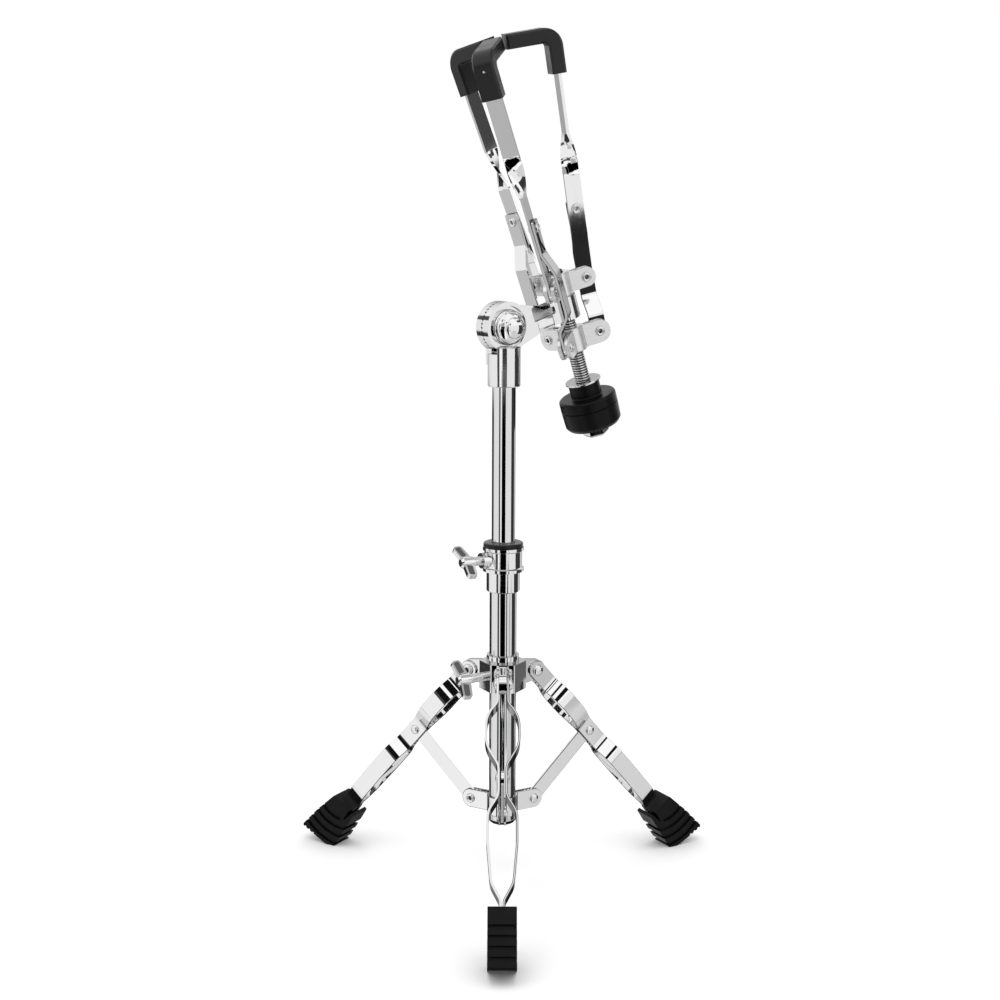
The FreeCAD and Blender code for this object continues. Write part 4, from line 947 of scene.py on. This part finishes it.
class RivetMaker:
    """Sets turned rivets on the points of a node with one shared tree."""

    def __init__(self) -> None:
        """Build the shared tree."""
        self.tree = rivet_tree()

    def form(self, seat: RivetSeat, low_head: Optional[Head], high_head: Head) -> Object:
        """One rivet along Z about the origin.

        Args:
            seat: Measured sizes.
            low_head: Head at the low end, or None for a plain end.
            high_head: Head at the high end.

        Returns:
            A closed turned piece whose hollows are marked with painted shade.
        """
        outline: Outline = [(seat.low, 0.0), (seat.low, seat.shank)]
        if low_head is not None:
            mirrored = head_outline(low_head, -seat.low_seat, -seat.low, seat.head, seat.shank)
            outline = [(-level, radius) for level, radius in mirrored[::-1]] + [(seat.low_seat, seat.shank)]
        outline.append((seat.high_seat, seat.shank))
        outline += head_outline(high_head, seat.high_seat, seat.high, seat.head, seat.shank)
        piece = lathe("rivet_form", LOCAL_Z, outline, RIVET_FACES)
        # The hollow of a tubular head gets painted shade
        marks = []
        for vertex in piece.data.vertices:
            inside = vertex.co.xy.length < HOLLOW_EDGE * HOLLOW_SHARE * seat.shank * MM
            deep = seat.low_seat * MM < vertex.co.z < seat.high_seat * MM
            marks.append(1.0 if inside and deep else 0.0)
        mark_points(piece.data, marks)
        return piece

    def dress(self, node: str, directions: Sequence[Vector], low_head: Head, high_head: Head,
              finish: Material) -> Object:
        """All rivets of a node as one piece.

        Args:
            node: Node with equal rivets.
            directions: Lines that its rivets may lie along, pointing to the high head.
            low_head: Head at the low end.
            high_head: Head at the high end, or the only one.
            finish: Material of the rivets.

        Returns:
            A new object in the frame.
        """
        seats = [measured_rivet(points, directions) for points in islands_of(node)]
        stub = seats[0].is_stub()
        if stub:
            seats = [seat.head_up() for seat in seats]
        places = bmesh.new()
        along = places.verts.layers.float_vector.new(ALONG)
        for seat in seats:
            places.verts.new(seat.axis.origin)[along] = seat.axis.direction
        form = self.form(seats[0], None if stub else low_head, high_head)
        piece = run_tree(object_of(node + DRESSED, places), self.tree, Form=form, Finish=finish)
        bpy.data.objects.remove(form)
        return piece


# Sub-assemblies

@dataclass(frozen=True)
class Screw:
    """Sizes of a screw thread in millimetres."""

    core_mm: float
    ridge_mm: float
    pitch_mm: float
    length_mm: float


@dataclass
class Workshop:
    """Tools that all sub-assemblies share."""

    finishes: FinishSet
    rivets: RivetMaker
    threads: GeometryNodeTree

    def fit(self, piece: Object, slot: Slot, body: str, *nodes: str, kind: str = "") -> None:
        """Give a piece its finish and its place in the frame.

        Args:
            piece: Finished object.
            slot: Material slot of the record.
            body: Body that carries it.
            nodes: Nodes that it stands for.
            kind: Kind of finish where the slot has several.
        """
        piece.data.materials.clear()
        piece.data.materials.append(self.finishes.of(slot, kind))
        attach(piece, body)
        if nodes:
            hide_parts(*nodes)
        LOG.info("%s rides on %s in %s, %d faces", piece.name, body, slot.value, len(piece.data.polygons))

    def shell(self, node: str, slot: Slot, bevel_mm: float, chords: Chords = Chords.PLAIN,
              panels: Optional[Panels] = None, kind: str = "") -> None:
        """Dress a node with its own shape, rounded edges and marked panels."""
        piece = softened_shell(node, bevel_mm, chords, panels, EDGE_SHADE_SHARE.get(slot, 0.0))
        self.fit(piece, slot, body_of(node), node, kind=kind)

    def turned(self, node: str, slot: Slot, axis: Axis, corners: Corners) -> None:
        """Dress a node with a turned piece of a filleted outline."""
        piece = lathe(node + DRESSED, axis, filleted(corners), TURNED_FACES)
        self.fit(piece, slot, body_of(node), node)

    def riveted(self, node: str, joints: Sequence[str], low_head: Head, high_head: Head) -> None:
        """Dress a node of equal rivets.

        Args:
            node: Node with the rivets.
            joints: Joints whose lines they lie along.
            low_head: Head at the low end.
            high_head: Head at the high end, or the only one.
        """
        directions = [-joint_axis(joint).direction for joint in joints]
        piece = self.rivets.dress(node, directions, low_head, high_head, self.finishes.of(Slot.RIVET))
        self.fit(piece, Slot.RIVET, body_of(node), node)

    def threaded(self, core: Object, axis: Axis, screw: Screw, body: str, *nodes: str) -> None:
        """Wind a thread onto a core that was made along Z, and fit it.

        Args:
            core: Core along Z, with the thread starting at the origin.
            axis: Line that carries the screw.
            screw: Sizes of the thread.
            body: Body that carries it.
            nodes: Nodes that it stands for.
        """
        piece = run_tree(core, self.threads, Radius=(screw.core_mm - THREAD_SINK_MM) * MM,
                         Ridge=screw.ridge_mm * MM, Pitch=screw.pitch_mm * MM,
                         Turns=screw.length_mm / screw.pitch_mm, Finish=self.finishes.of(Slot.ROD))
        piece.data.transform(axis.matrix())
        self.fit(piece, Slot.ROD, body, *nodes)


@dataclass
class Column:
    """Two tubes, the plug, the height collar with its bush, and the two wing bolts."""

    shop: Workshop
    wall_mm: float = 1.2
    end_round_mm: float = 0.5
    bore_round_mm: float = 0.2
    plug_round_mm: float = 0.5
    cast_round_mm: float = 0.45
    bush_round_mm: float = 1.5
    bush_lip_mm: float = 0.5
    flange_mm: float = 3.7
    wing_round_mm: float = 0.35
    hub_mm: float = 4.5
    blade_mm: float = 40.0
    tail_mm: float = 2.0
    bolt_pitch_mm: float = 1.2
    bolt_ridge_mm: float = 0.32
    bolt_tip_mm: float = 1.6
    bolt_bare_mm: float = 3.0
    axis: Axis = field(default_factory=lambda: joint_axis("column_swivel"))

    def build(self) -> None:
        """Dress the column."""
        self.tube("lower_tube")
        self.tube("upper_tube")
        self.shop.shell("tube_plug", Slot.PLUG, self.plug_round_mm)
        self.shop.shell("height_collar", Slot.CAST, self.cast_round_mm, Chords.SOFT)
        self.bush()
        for node, joint in (("height_wing_bolt", "height_bolt_turn"), ("boss_wing_bolt", "boss_bolt_turn")):
            axis = joint_axis(joint)
            # The recessed panels of each wing bolt's blades get painted shade
            self.shop.shell(node, Slot.CAST, self.wing_round_mm,
                            panels=Panels(axis, self.hub_mm, self.blade_mm))
            self.bolt_thread(node, axis)

    def tube(self, node: str) -> None:
        """Dress one tube with a true round wall.

        Args:
            node: Node of the tube.
        """
        reach = self.axis.reach(node_points(node))
        inner = reach.radius - self.wall_mm
        self.shop.turned(node, Slot.TUBE, self.axis, [
            (reach.low, inner, self.bore_round_mm), (reach.low, reach.radius, self.end_round_mm),
            (reach.high, reach.radius, self.end_round_mm), (reach.high, inner, self.bore_round_mm)])

    def bush(self) -> None:
        """Dress the nylon bush with a rounded flange."""
        points = node_points("collar_bush")
        reach = self.axis.reach(points)
        sleeve = self.axis.reach(self.axis.below(points, -self.tail_mm)).radius
        seat = max(0.0, reach.high - self.flange_mm)
        self.shop.turned("collar_bush", Slot.NYLON, self.axis, [
            (reach.low, reach.bore, self.bore_round_mm), (reach.low, sleeve, self.bore_round_mm),
            (seat, sleeve, 0.0), (seat, reach.radius, self.bush_round_mm),
            (reach.high, reach.radius, self.bush_round_mm), (reach.high, reach.bore, self.bush_lip_mm)])

    def bolt_thread(self, node: str, axis: Axis) -> None:
        """Wind the thread on the open part of a wing bolt's shank.

        Args:
            node: Node of the bolt.
            axis: Line that it turns about.
        """
        reach = axis.reach(axis.below(node_points(node), -self.tail_mm))
        screw = Screw(reach.radius, self.bolt_ridge_mm, self.bolt_pitch_mm, -reach.low - self.bolt_bare_mm)
        core = object_of(node + "_thread", bmesh.new())
        self.shop.threaded(core, axis.shifted(reach.low + self.bolt_tip_mm), screw, body_of(node))


@dataclass
class Tripod:
    """Sliding boss, three legs of bent double strips, the spider and its braces."""

    shop: Workshop
    strip_round_mm: float = 0.6
    boss_round_mm: float = 0.6
    foot_round_mm: float = 0.45

    def build(self) -> None:
        """Dress the tripod."""
        self.shop.shell("tripod_boss", Slot.CAST, self.boss_round_mm, Chords.SOFT)
        folds = ["leg_%d_fold" % number for number in LEG_NUMBERS]
        swings = ["brace_%d_fold" % number for number in LEG_NUMBERS]
        self.shop.riveted("boss_rivets", folds, Head.TUBULAR, Head.DOME)
        self.shop.riveted("spider_rivets", swings, Head.TUBULAR, Head.DOME)
        for number in LEG_NUMBERS:
            for strip in ("leg_%d_strip_left", "leg_%d_strip_right"):
                self.shop.shell(strip % number, Slot.STRIP, self.strip_round_mm, Chords.FINE)
            self.shop.shell("leg_%d_foot" % number, Slot.FOOT, self.foot_round_mm)
            self.shop.shell("brace_%d" % number, Slot.STRIP, self.strip_round_mm, Chords.FINE)
            self.shop.shell("spider_plate_%d" % number, Slot.STRIP, self.strip_round_mm, Chords.SOFT)
            self.shop.riveted("leg_%d_rivets" % number, folds, Head.DOME, Head.DOME)


@dataclass
class Tilter:
    """Toothed tilter: sleeve, arm, domed pivot bolt and wing nut."""

    shop: Workshop
    cast_round_mm: float = 0.5
    cap_mm: float = 3.0
    cap_search_mm: float = 0.05
    shank_mm: float = 1.0
    dome_steps: int = 14
    bolt_faces: int = 96
    hub_mm: float = 7.0
    panel_near_mm: float = 25.0
    panel_far_mm: float = 45.0
    panel_shade_share: float = 0.5
    axis: Axis = field(default_factory=lambda: joint_axis("basket_tilt"))

    def build(self) -> None:
        """Dress the tilter."""
        near = -self.axis.direction
        # The arm's face panel gets half painted shade; the wing nut's blade panels get full painted shade
        face = Panels(self.axis, self.panel_near_mm, self.panel_far_mm, near, self.panel_shade_share)
        blades = Panels(self.axis, self.hub_mm, self.panel_far_mm)
        for node, panels in (("tilter_sleeve", None), ("tilter_arm", face), ("tilter_wing_nut", blades)):
            self.shop.shell(node, Slot.CAST, self.cast_round_mm, panels=panels)
        self.pivot_bolt()

    def pivot_bolt(self) -> None:
        """Dress the pivot bolt with a smooth dome and a smaller cap on it."""
        near = self.axis.turned()
        points = node_points("tilter_bolt")
        reach = near.reach(points)
        rows = near.rows(points)
        seat = max(along for along, away in rows if away > RIM_SHARE * reach.radius)
        shank = max(away for along, away in rows if along < reach.low + self.shank_mm)
        cap_seat = reach.high - self.cap_mm
        cap = max(away for along, away in rows if along > cap_seat - self.cap_search_mm)
        crown = (cap_seat - seat) / math.sqrt(1.0 - (cap / reach.radius) ** 2)
        outline = [(reach.low, 0.0), (reach.low, shank), (seat, shank)]
        for step in range(self.dome_steps + 1):
            radius = reach.radius + (cap - reach.radius) * (step / self.dome_steps) ** 2
            outline.append((seat + crown * math.sqrt(max(0.0, 1.0 - (radius / reach.radius) ** 2)), radius))
        outline += [(cap_seat + self.cap_mm * up, cap * out) for up, out in arc(self.dome_steps, 90.0)[1:]]
        piece = lathe("tilter_bolt" + DRESSED, near, outline, self.bolt_faces)
        self.shop.fit(piece, Slot.CAST, body_of("tilter_bolt"), "tilter_bolt")


@dataclass
class Basket:
    """Threaded rod, crown and slider, and three twisted arms with grips and struts."""

    shop: Workshop
    bar_round_mm: float = 0.75
    hub_round_mm: float = 0.6
    grip_round_mm: float = 0.9
    thread_pitch_mm: float = 2.15
    thread_ridge_mm: float = 0.56
    rod_round_mm: float = 0.8
    rod_bare_mm: float = 2.0
    rod_faces: int = 64
    peg_search_mm: float = 2.0
    peg_gap_mm: float = 0.08
    peg_side_mm: float = 0.5
    peg_crown_mm: float = 0.2
    peg_crown_share: float = 0.7
    peg_faces: int = 32
    axis: Axis = field(default_factory=lambda: joint_axis("knob_turn"))

    def build(self) -> None:
        """Dress the basket."""
        self.rod()
        for node in ("basket_crown", "basket_slider"):
            self.shop.shell(node, Slot.CAST, self.hub_round_mm, Chords.SOFT, kind=SATIN)
        arms = ["arm_%d_open" % number for number in ARM_NUMBERS]
        struts = ["strut_%d_swing" % number for number in ARM_NUMBERS]
        self.shop.riveted("crown_pins", arms, Head.TUBULAR, Head.TUBULAR)
        self.shop.riveted("slider_pins", struts, Head.TUBULAR, Head.TUBULAR)
        for number in ARM_NUMBERS:
            for bar in ("arm_%d", "strut_%d"):
                self.shop.shell(bar % number, Slot.STRIP, self.bar_round_mm, Chords.FINE)
            self.shop.shell("grip_%d" % number, Slot.GRIP, self.grip_round_mm, Chords.SOFT)
            self.peg(number)
            for rivet, joints in (("arm_%d_rivet", arms), ("strut_%d_rivet", struts)):
                self.shop.riveted(rivet % number, joints, Head.TUBULAR, Head.TUBULAR)

    def peg(self, number: int) -> None:
        """Set the bright peg that shows in the small hole of a grip.

        Args:
            number: Number of the arm.
        """
        grip = "grip_%d" % number
        pivot = joint_axis("arm_%d_open" % number)
        rim = [point for point in node_points(grip) if abs(pivot.along(point)) < self.peg_search_mm]
        reach = self.axis.reach(rim)
        middle = (reach.bore + reach.radius) / 2.0
        outer = [point for point in rim if self.axis.away(point) > middle]
        inner = [point for point in rim if self.axis.away(point) <= middle]
        start = sum(inner, Vector()) / len(inner)
        end = sum(outer, Vector()) / len(outer)
        line = Axis(start, (end - start).normalized())
        radius = line.reach(outer).radius - self.peg_gap_mm
        top = line.along(end) - self.peg_gap_mm
        piece = lathe(grip + "_peg", line, [
            (0.0, 0.0), (0.0, radius), (top - self.peg_side_mm, radius),
            (top - self.peg_crown_mm, self.peg_crown_share * radius), (top, 0.0)], self.peg_faces)
        self.shop.fit(piece, Slot.RIVET, body_of(grip))

    def rod(self) -> None:
        """Dress the rod with its screw thread."""
        reach = self.axis.reach(node_points("basket_rod"))
        core = reach.radius - self.thread_ridge_mm
        low = -self.rod_bare_mm
        high = reach.high - reach.low - self.rod_bare_mm
        piece = lathe("basket_rod" + DRESSED, LOCAL_Z, filleted([
            (low, 0.0, 0.0), (low, core, self.rod_round_mm),
            (high, core, self.rod_round_mm), (high, 0.0, 0.0)]), self.rod_faces)
        # The whole core gets painted shade, so the valleys between the thread ridges read dark
        mark_points(piece.data, [1.0] * len(piece.data.vertices))
        screw = Screw(core, self.thread_ridge_mm, self.thread_pitch_mm, high - self.rod_bare_mm)
        start = self.axis.shifted(reach.low + self.rod_bare_mm)
        self.shop.threaded(piece, start, screw, body_of("basket_rod"), "basket_rod")


@dataclass
class Knob:
    """Moulded knob with a washer on it, an insert in it and a nut under it."""

    shop: Workshop
    base_in_mm: float = 3.0
    base_round_mm: float = 1.2
    side_rise_mm: float = 3.2
    side_in_mm: float = 0.5
    side_round_mm: float = 1.6
    seam_rise_mm: float = 4.2
    seam_half_mm: float = 0.55
    seam_deep_mm: float = 0.9
    seam_edge_mm: float = 0.25
    seam_floor_mm: float = 0.15
    shoulder_round_mm: float = 2.6
    neck_mm: float = 12.0
    neck_r_mm: float = 13.0
    neck_round_mm: float = 1.4
    neck_edge_mm: float = 0.5
    washer_low_mm: float = 0.4
    washer_high_mm: float = 0.5
    washer_bore_mm: float = 0.3
    insert_round_mm: float = 0.3
    nut_r_mm: float = 11.0
    nut_h_mm: float = 6.2
    nut_side_share: float = 0.7
    nut_end_share: float = 0.8
    nut_sides: int = 6
    axis: Axis = field(default_factory=lambda: joint_axis("knob_turn"))

    def build(self) -> None:
        """Dress the knob and what it carries."""
        knob = self.axis.reach(node_points("basket_knob"))
        self.moulding(knob)
        self.washer(knob.bore)
        self.shop.shell("knob_insert", Slot.ROD, self.insert_round_mm)
        self.nut()

    def moulding(self, knob: Reach) -> None:
        """Dress the knob with its neck and the seam round its side.

        Args:
            knob: Extent of the knob.
        """
        low, high, bore, outer = knob.low, knob.high, knob.bore, knob.radius
        shoulder = high - self.neck_mm
        seam = (shoulder + low) / 2.0 + self.seam_rise_mm
        self.shop.turned("basket_knob", Slot.KNOB, self.axis, [
            (low, bore, 0.0), (low, outer - self.base_in_mm, self.base_round_mm),
            (low + self.side_rise_mm, outer - self.side_in_mm, self.side_round_mm),
            (seam - self.seam_half_mm, outer, self.seam_edge_mm),
            (seam, outer - self.seam_deep_mm, self.seam_floor_mm),
            (seam + self.seam_half_mm, outer, self.seam_edge_mm),
            (shoulder, outer, self.shoulder_round_mm), (shoulder, self.neck_r_mm, self.neck_round_mm),
            (high, self.neck_r_mm, self.neck_edge_mm), (high, bore, 0.0)])

    def washer(self, bore: float) -> None:
        """Dress the washer on the knob.

        Args:
            bore: Radius of its hole.
        """
        reach = self.axis.reach(node_points("knob_washer"))
        self.shop.turned("knob_washer", Slot.ROD, self.axis, [
            (reach.low, bore, 0.0), (reach.low, reach.radius, self.washer_low_mm),
            (reach.high, reach.radius, self.washer_high_mm), (reach.high, bore, self.washer_bore_mm)])

    def nut(self) -> None:
        """Set the small nut under the insert."""
        top = self.axis.reach(node_points("knob_insert")).low
        end = top - self.nut_h_mm
        nut = lathe("knob_nut", self.axis, [
            (top, 0.0), (top, self.nut_r_mm), (top - self.nut_side_share * self.nut_h_mm, self.nut_r_mm),
            (end, self.nut_end_share * self.nut_r_mm), (end, 0.0)], self.nut_sides)
        self.shop.fit(nut, Slot.ROD, body_of("knob_insert"))


# Studio

@dataclass(frozen=True)
class Card:
    """A reflected panel: bounds in degrees of azimuth from the camera and of elevation, and its level."""

    left: float
    right: float
    low: float
    high: float
    level: float
    soft: float = 1.5

    def bounds(self) -> Values:
        """Inputs of the panel's mask."""
        return {"Left": self.left, "Right": self.right, "Low": self.low, "High": self.high, "Soft": self.soft}


# A later panel covers the earlier ones
CARDS = (
    Card(-200.0, 200.0, -95.0, -58.0, 0.55, 8.0),
    Card(-200.0, -41.0, -58.0, 14.0, 0.92),
    Card(36.0, 200.0, -58.0, -17.0, 0.70),
    Card(18.0, 79.0, -17.0, 5.0, 0.90),
    Card(51.0, 66.0, -17.5, -13.0, 0.55),
    Card(-104.0, -88.0, -33.0, -20.0, 0.55),
    Card(-42.0, -19.0, -47.0, -27.0, 0.48),
    Card(-200.0, -137.0, -6.5, 10.0, 0.95),
    Card(134.0, 200.0, -24.0, 20.0, 0.95),
    Card(153.0, 182.0, -46.0, -26.0, 0.06),
    Card(-200.0, -115.0, -24.0, -6.5, 0.04),
    Card(-48.0, -33.0, -26.0, 4.0, 0.06),
    Card(-25.0, -15.0, -26.0, -12.5, 0.04),
    Card(-19.0, 18.0, -60.0, -6.0, 0.0),
    Card(-12.0, 20.0, -6.0, 4.0, 0.0),
    Card(-15.0, 18.0, 4.0, 22.0, 0.40, 4.0),
    Card(26.5, 35.0, -18.5, -12.3, 0.02, 0.2),
    Card(79.0, 118.0, -24.0, 5.0, 0.04),
    Card(118.0, 127.0, -24.0, 5.0, 0.14),
    Card(74.0, 112.0, 15.0, 27.0, 0.06),
    Card(26.5, 37.0, 10.0, 21.0, 0.005, 1.0),
    Card(12.0, 18.0, 30.0, 36.0, 0.005, 1.0),
    Card(-42.0, -26.0, 2.0, 21.0, 0.005, 1.0),
    Card(-18.0, -2.0, 30.0, 44.0, 0.005, 1.0),
    Card(-14.0, 14.0, 50.0, 70.0, 0.90, 4.0),
    Card(70.0, 160.0, 40.0, 72.0, 0.45, 4.0),
    Card(98.0, 122.0, 27.0, 48.0, 0.08),
    Card(-122.0, -98.0, 15.0, 48.0, 0.08),
)


def card_group() -> ShaderNodeTree:
    """Group that is one inside a panel's bounds and fades across its edges.

    Returns:
        A group with a Mask output.
    """
    maker = EffectMaker("card_mask", ("Azimuth", "Elevation", "Left", "Right", "Low", "High", "Soft"),
                        ("Mask",))
    total: Optional[Node] = None
    for more, less in (("Azimuth", "Left"), ("Right", "Azimuth"),
                       ("Elevation", "Low"), ("High", "Elevation")):
        past = maker.node("ShaderNodeMath", operation="SUBTRACT")
        share = maker.node("ShaderNodeMath", operation="DIVIDE")
        edge = maker.node("ShaderNodeMapRange", {"From Min": -0.5, "From Max": 0.5},
                          interpolation_type="SMOOTHSTEP")
        both = maker.node("ShaderNodeMath", {0: 1.0}, operation="MULTIPLY")
        maker.join((maker.entry, more, past, 0), (maker.entry, less, past, 1),
                   (past, "Value", share, 0), (maker.entry, "Soft", share, 1),
                   (share, "Value", edge, "Value"), (edge, "Result", both, 1))
        if total is not None:
            maker.join((total, "Value", both, 0))
        total = both
    maker.join((total, "Value", maker.leave, "Mask"))
    return maker.tree


@dataclass
class Studio:
    """Camera, floor, light and the panels that the chrome reflects."""

    camera_mm: Tuple[float, float, float] = (-2.9, -1350.0, 565.3)
    pitch_degrees: float = 10.06
    roll_degrees: float = 0.24
    focal_mm: float = 60.79
    sensor_mm: float = 36.0
    floor_m: float = 8.0
    floor_rough: float = 0.9
    floor_tones: Tuple[float, float] = (0.89, 0.91)
    paper_scale: float = 6.0
    white: float = 1.05
    fill: float = 1.13
    backdrop: float = 1.0
    key_watts: float = 4.0
    key_place_m: Tuple[float, float, float] = (-0.1, -0.15, 1.4)
    key_size_m: float = 1.2

    def build(self) -> None:
        """Set up the studio."""
        self.camera()
        self.floor()
        self.key_light()
        self.world()
        bpy.context.scene.view_settings.view_transform = "Standard"

    def camera(self) -> None:
        """Place the camera at the photograph's angle."""
        data = bpy.data.cameras.new("camera")
        data.lens = self.focal_mm
        data.sensor_width = self.sensor_mm
        camera = bpy.data.objects.new("camera", data)
        turn = Matrix.Rotation(math.radians(90.0 - self.pitch_degrees), 4, "X")
        roll = Matrix.Rotation(math.radians(self.roll_degrees), 4, "Z")
        camera.matrix_world = Matrix.Translation(Vector(self.camera_mm) * MM) @ turn @ roll
        bpy.context.scene.collection.objects.link(camera)
        bpy.context.scene.camera = camera

    def floor(self) -> None:
        """Lay a pale floor that the chrome does not mirror."""
        form = bmesh.new()
        bmesh.ops.create_grid(form, x_segments=1, y_segments=1, size=self.floor_m / 2.0)
        floor = object_of("floor", form)
        surface = Surface("floor", {"Roughness": self.floor_rough, "Specular IOR Level": 0.0})
        paper = surface.node("ShaderNodeTexNoise", {"Scale": self.paper_scale})
        low, high = self.floor_tones
        tone = surface.node("ShaderNodeMapRange", {"To Min": low, "To Max": high})
        surface.join((surface.place, "Object", paper, "Vector"), (paper, "Fac", tone, "Value"),
                     (tone, "Result", surface.shader, "Base Color"))
        floor.data.materials.append(surface.material)
        floor.visible_glossy = False

    def key_light(self) -> None:
        """Hang one large soft light that the chrome does not mirror."""
        data = bpy.data.lights.new("key", "AREA")
        data.energy = self.key_watts
        data.size = self.key_size_m
        key = bpy.data.objects.new("key", data)
        place = Vector(self.key_place_m)
        aim = -place.normalized()
        key.matrix_world = Matrix.Translation(place) @ aim.to_track_quat("-Z", "Y").to_matrix().to_4x4()
        key.visible_glossy = False
        bpy.context.scene.collection.objects.link(key)

    def world(self) -> None:
        """Light the part evenly and show the panels to mirror rays only."""
        world = bpy.data.worlds.new("studio")
        world.use_nodes = True
        bpy.context.scene.world = world
        maker = NodeMaker(world.node_tree)
        place = maker.node("ShaderNodeTexCoord")
        parts = maker.node("ShaderNodeSeparateXYZ")
        flip = maker.node("ShaderNodeMath", {1: -1.0}, operation="MULTIPLY")
        turn = maker.node("ShaderNodeMath", operation="ARCTAN2")
        lift = maker.node("ShaderNodeMath", operation="ARCSINE")
        azimuth = maker.node("ShaderNodeMath", operation="DEGREES")
        elevation = maker.node("ShaderNodeMath", operation="DEGREES")
        maker.join((place, "Generated", parts, "Vector"), (parts, "Y", flip, 0), (parts, "X", turn, 0),
                   (flip, "Value", turn, 1), (turn, "Value", azimuth, 0),
                   (parts, "Z", lift, 0), (lift, "Value", elevation, 0))
        group = card_group()
        level: Optional[Node] = None
        for card in CARDS:
            mask = maker.node("ShaderNodeGroup", card.bounds(), node_tree=group)
            blend = maker.node("ShaderNodeMix", {"A": self.white, "B": card.level})
            maker.join((azimuth, "Value", mask, "Azimuth"), (elevation, "Value", mask, "Elevation"),
                       (mask, "Mask", blend, "Factor"))
            if level is not None:
                maker.join((level, "Result", blend, "A"))
            level = blend
        path = maker.node("ShaderNodeLightPath")
        lit = maker.node("ShaderNodeMix", {"A": self.fill})
        seen = maker.node("ShaderNodeMix", {"B": self.backdrop})
        background = maker.tree.nodes["Background"]
        maker.give(background, {"Color": (1.0, 1.0, 1.0, 1.0)})
        maker.join((path, "Is Glossy Ray", lit, "Factor"), (level, "Result", lit, "B"),
                   (path, "Is Camera Ray", seen, "Factor"), (lit, "Result", seen, "A"),
                   (seen, "Result", background, "Strength"))


def main() -> None:
    """Build the stand, its studio and its camera."""
    logging.basicConfig(level=logging.INFO, format="%(message)s")
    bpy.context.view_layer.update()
    shop = Workshop(FinishSet(), RivetMaker(), thread_tree())
    for assembly in (Column(shop), Tripod(shop), Tilter(shop), Basket(shop), Knob(shop)):
        assembly.build()
    Studio().build()


if __name__ == "__main__":
    main()
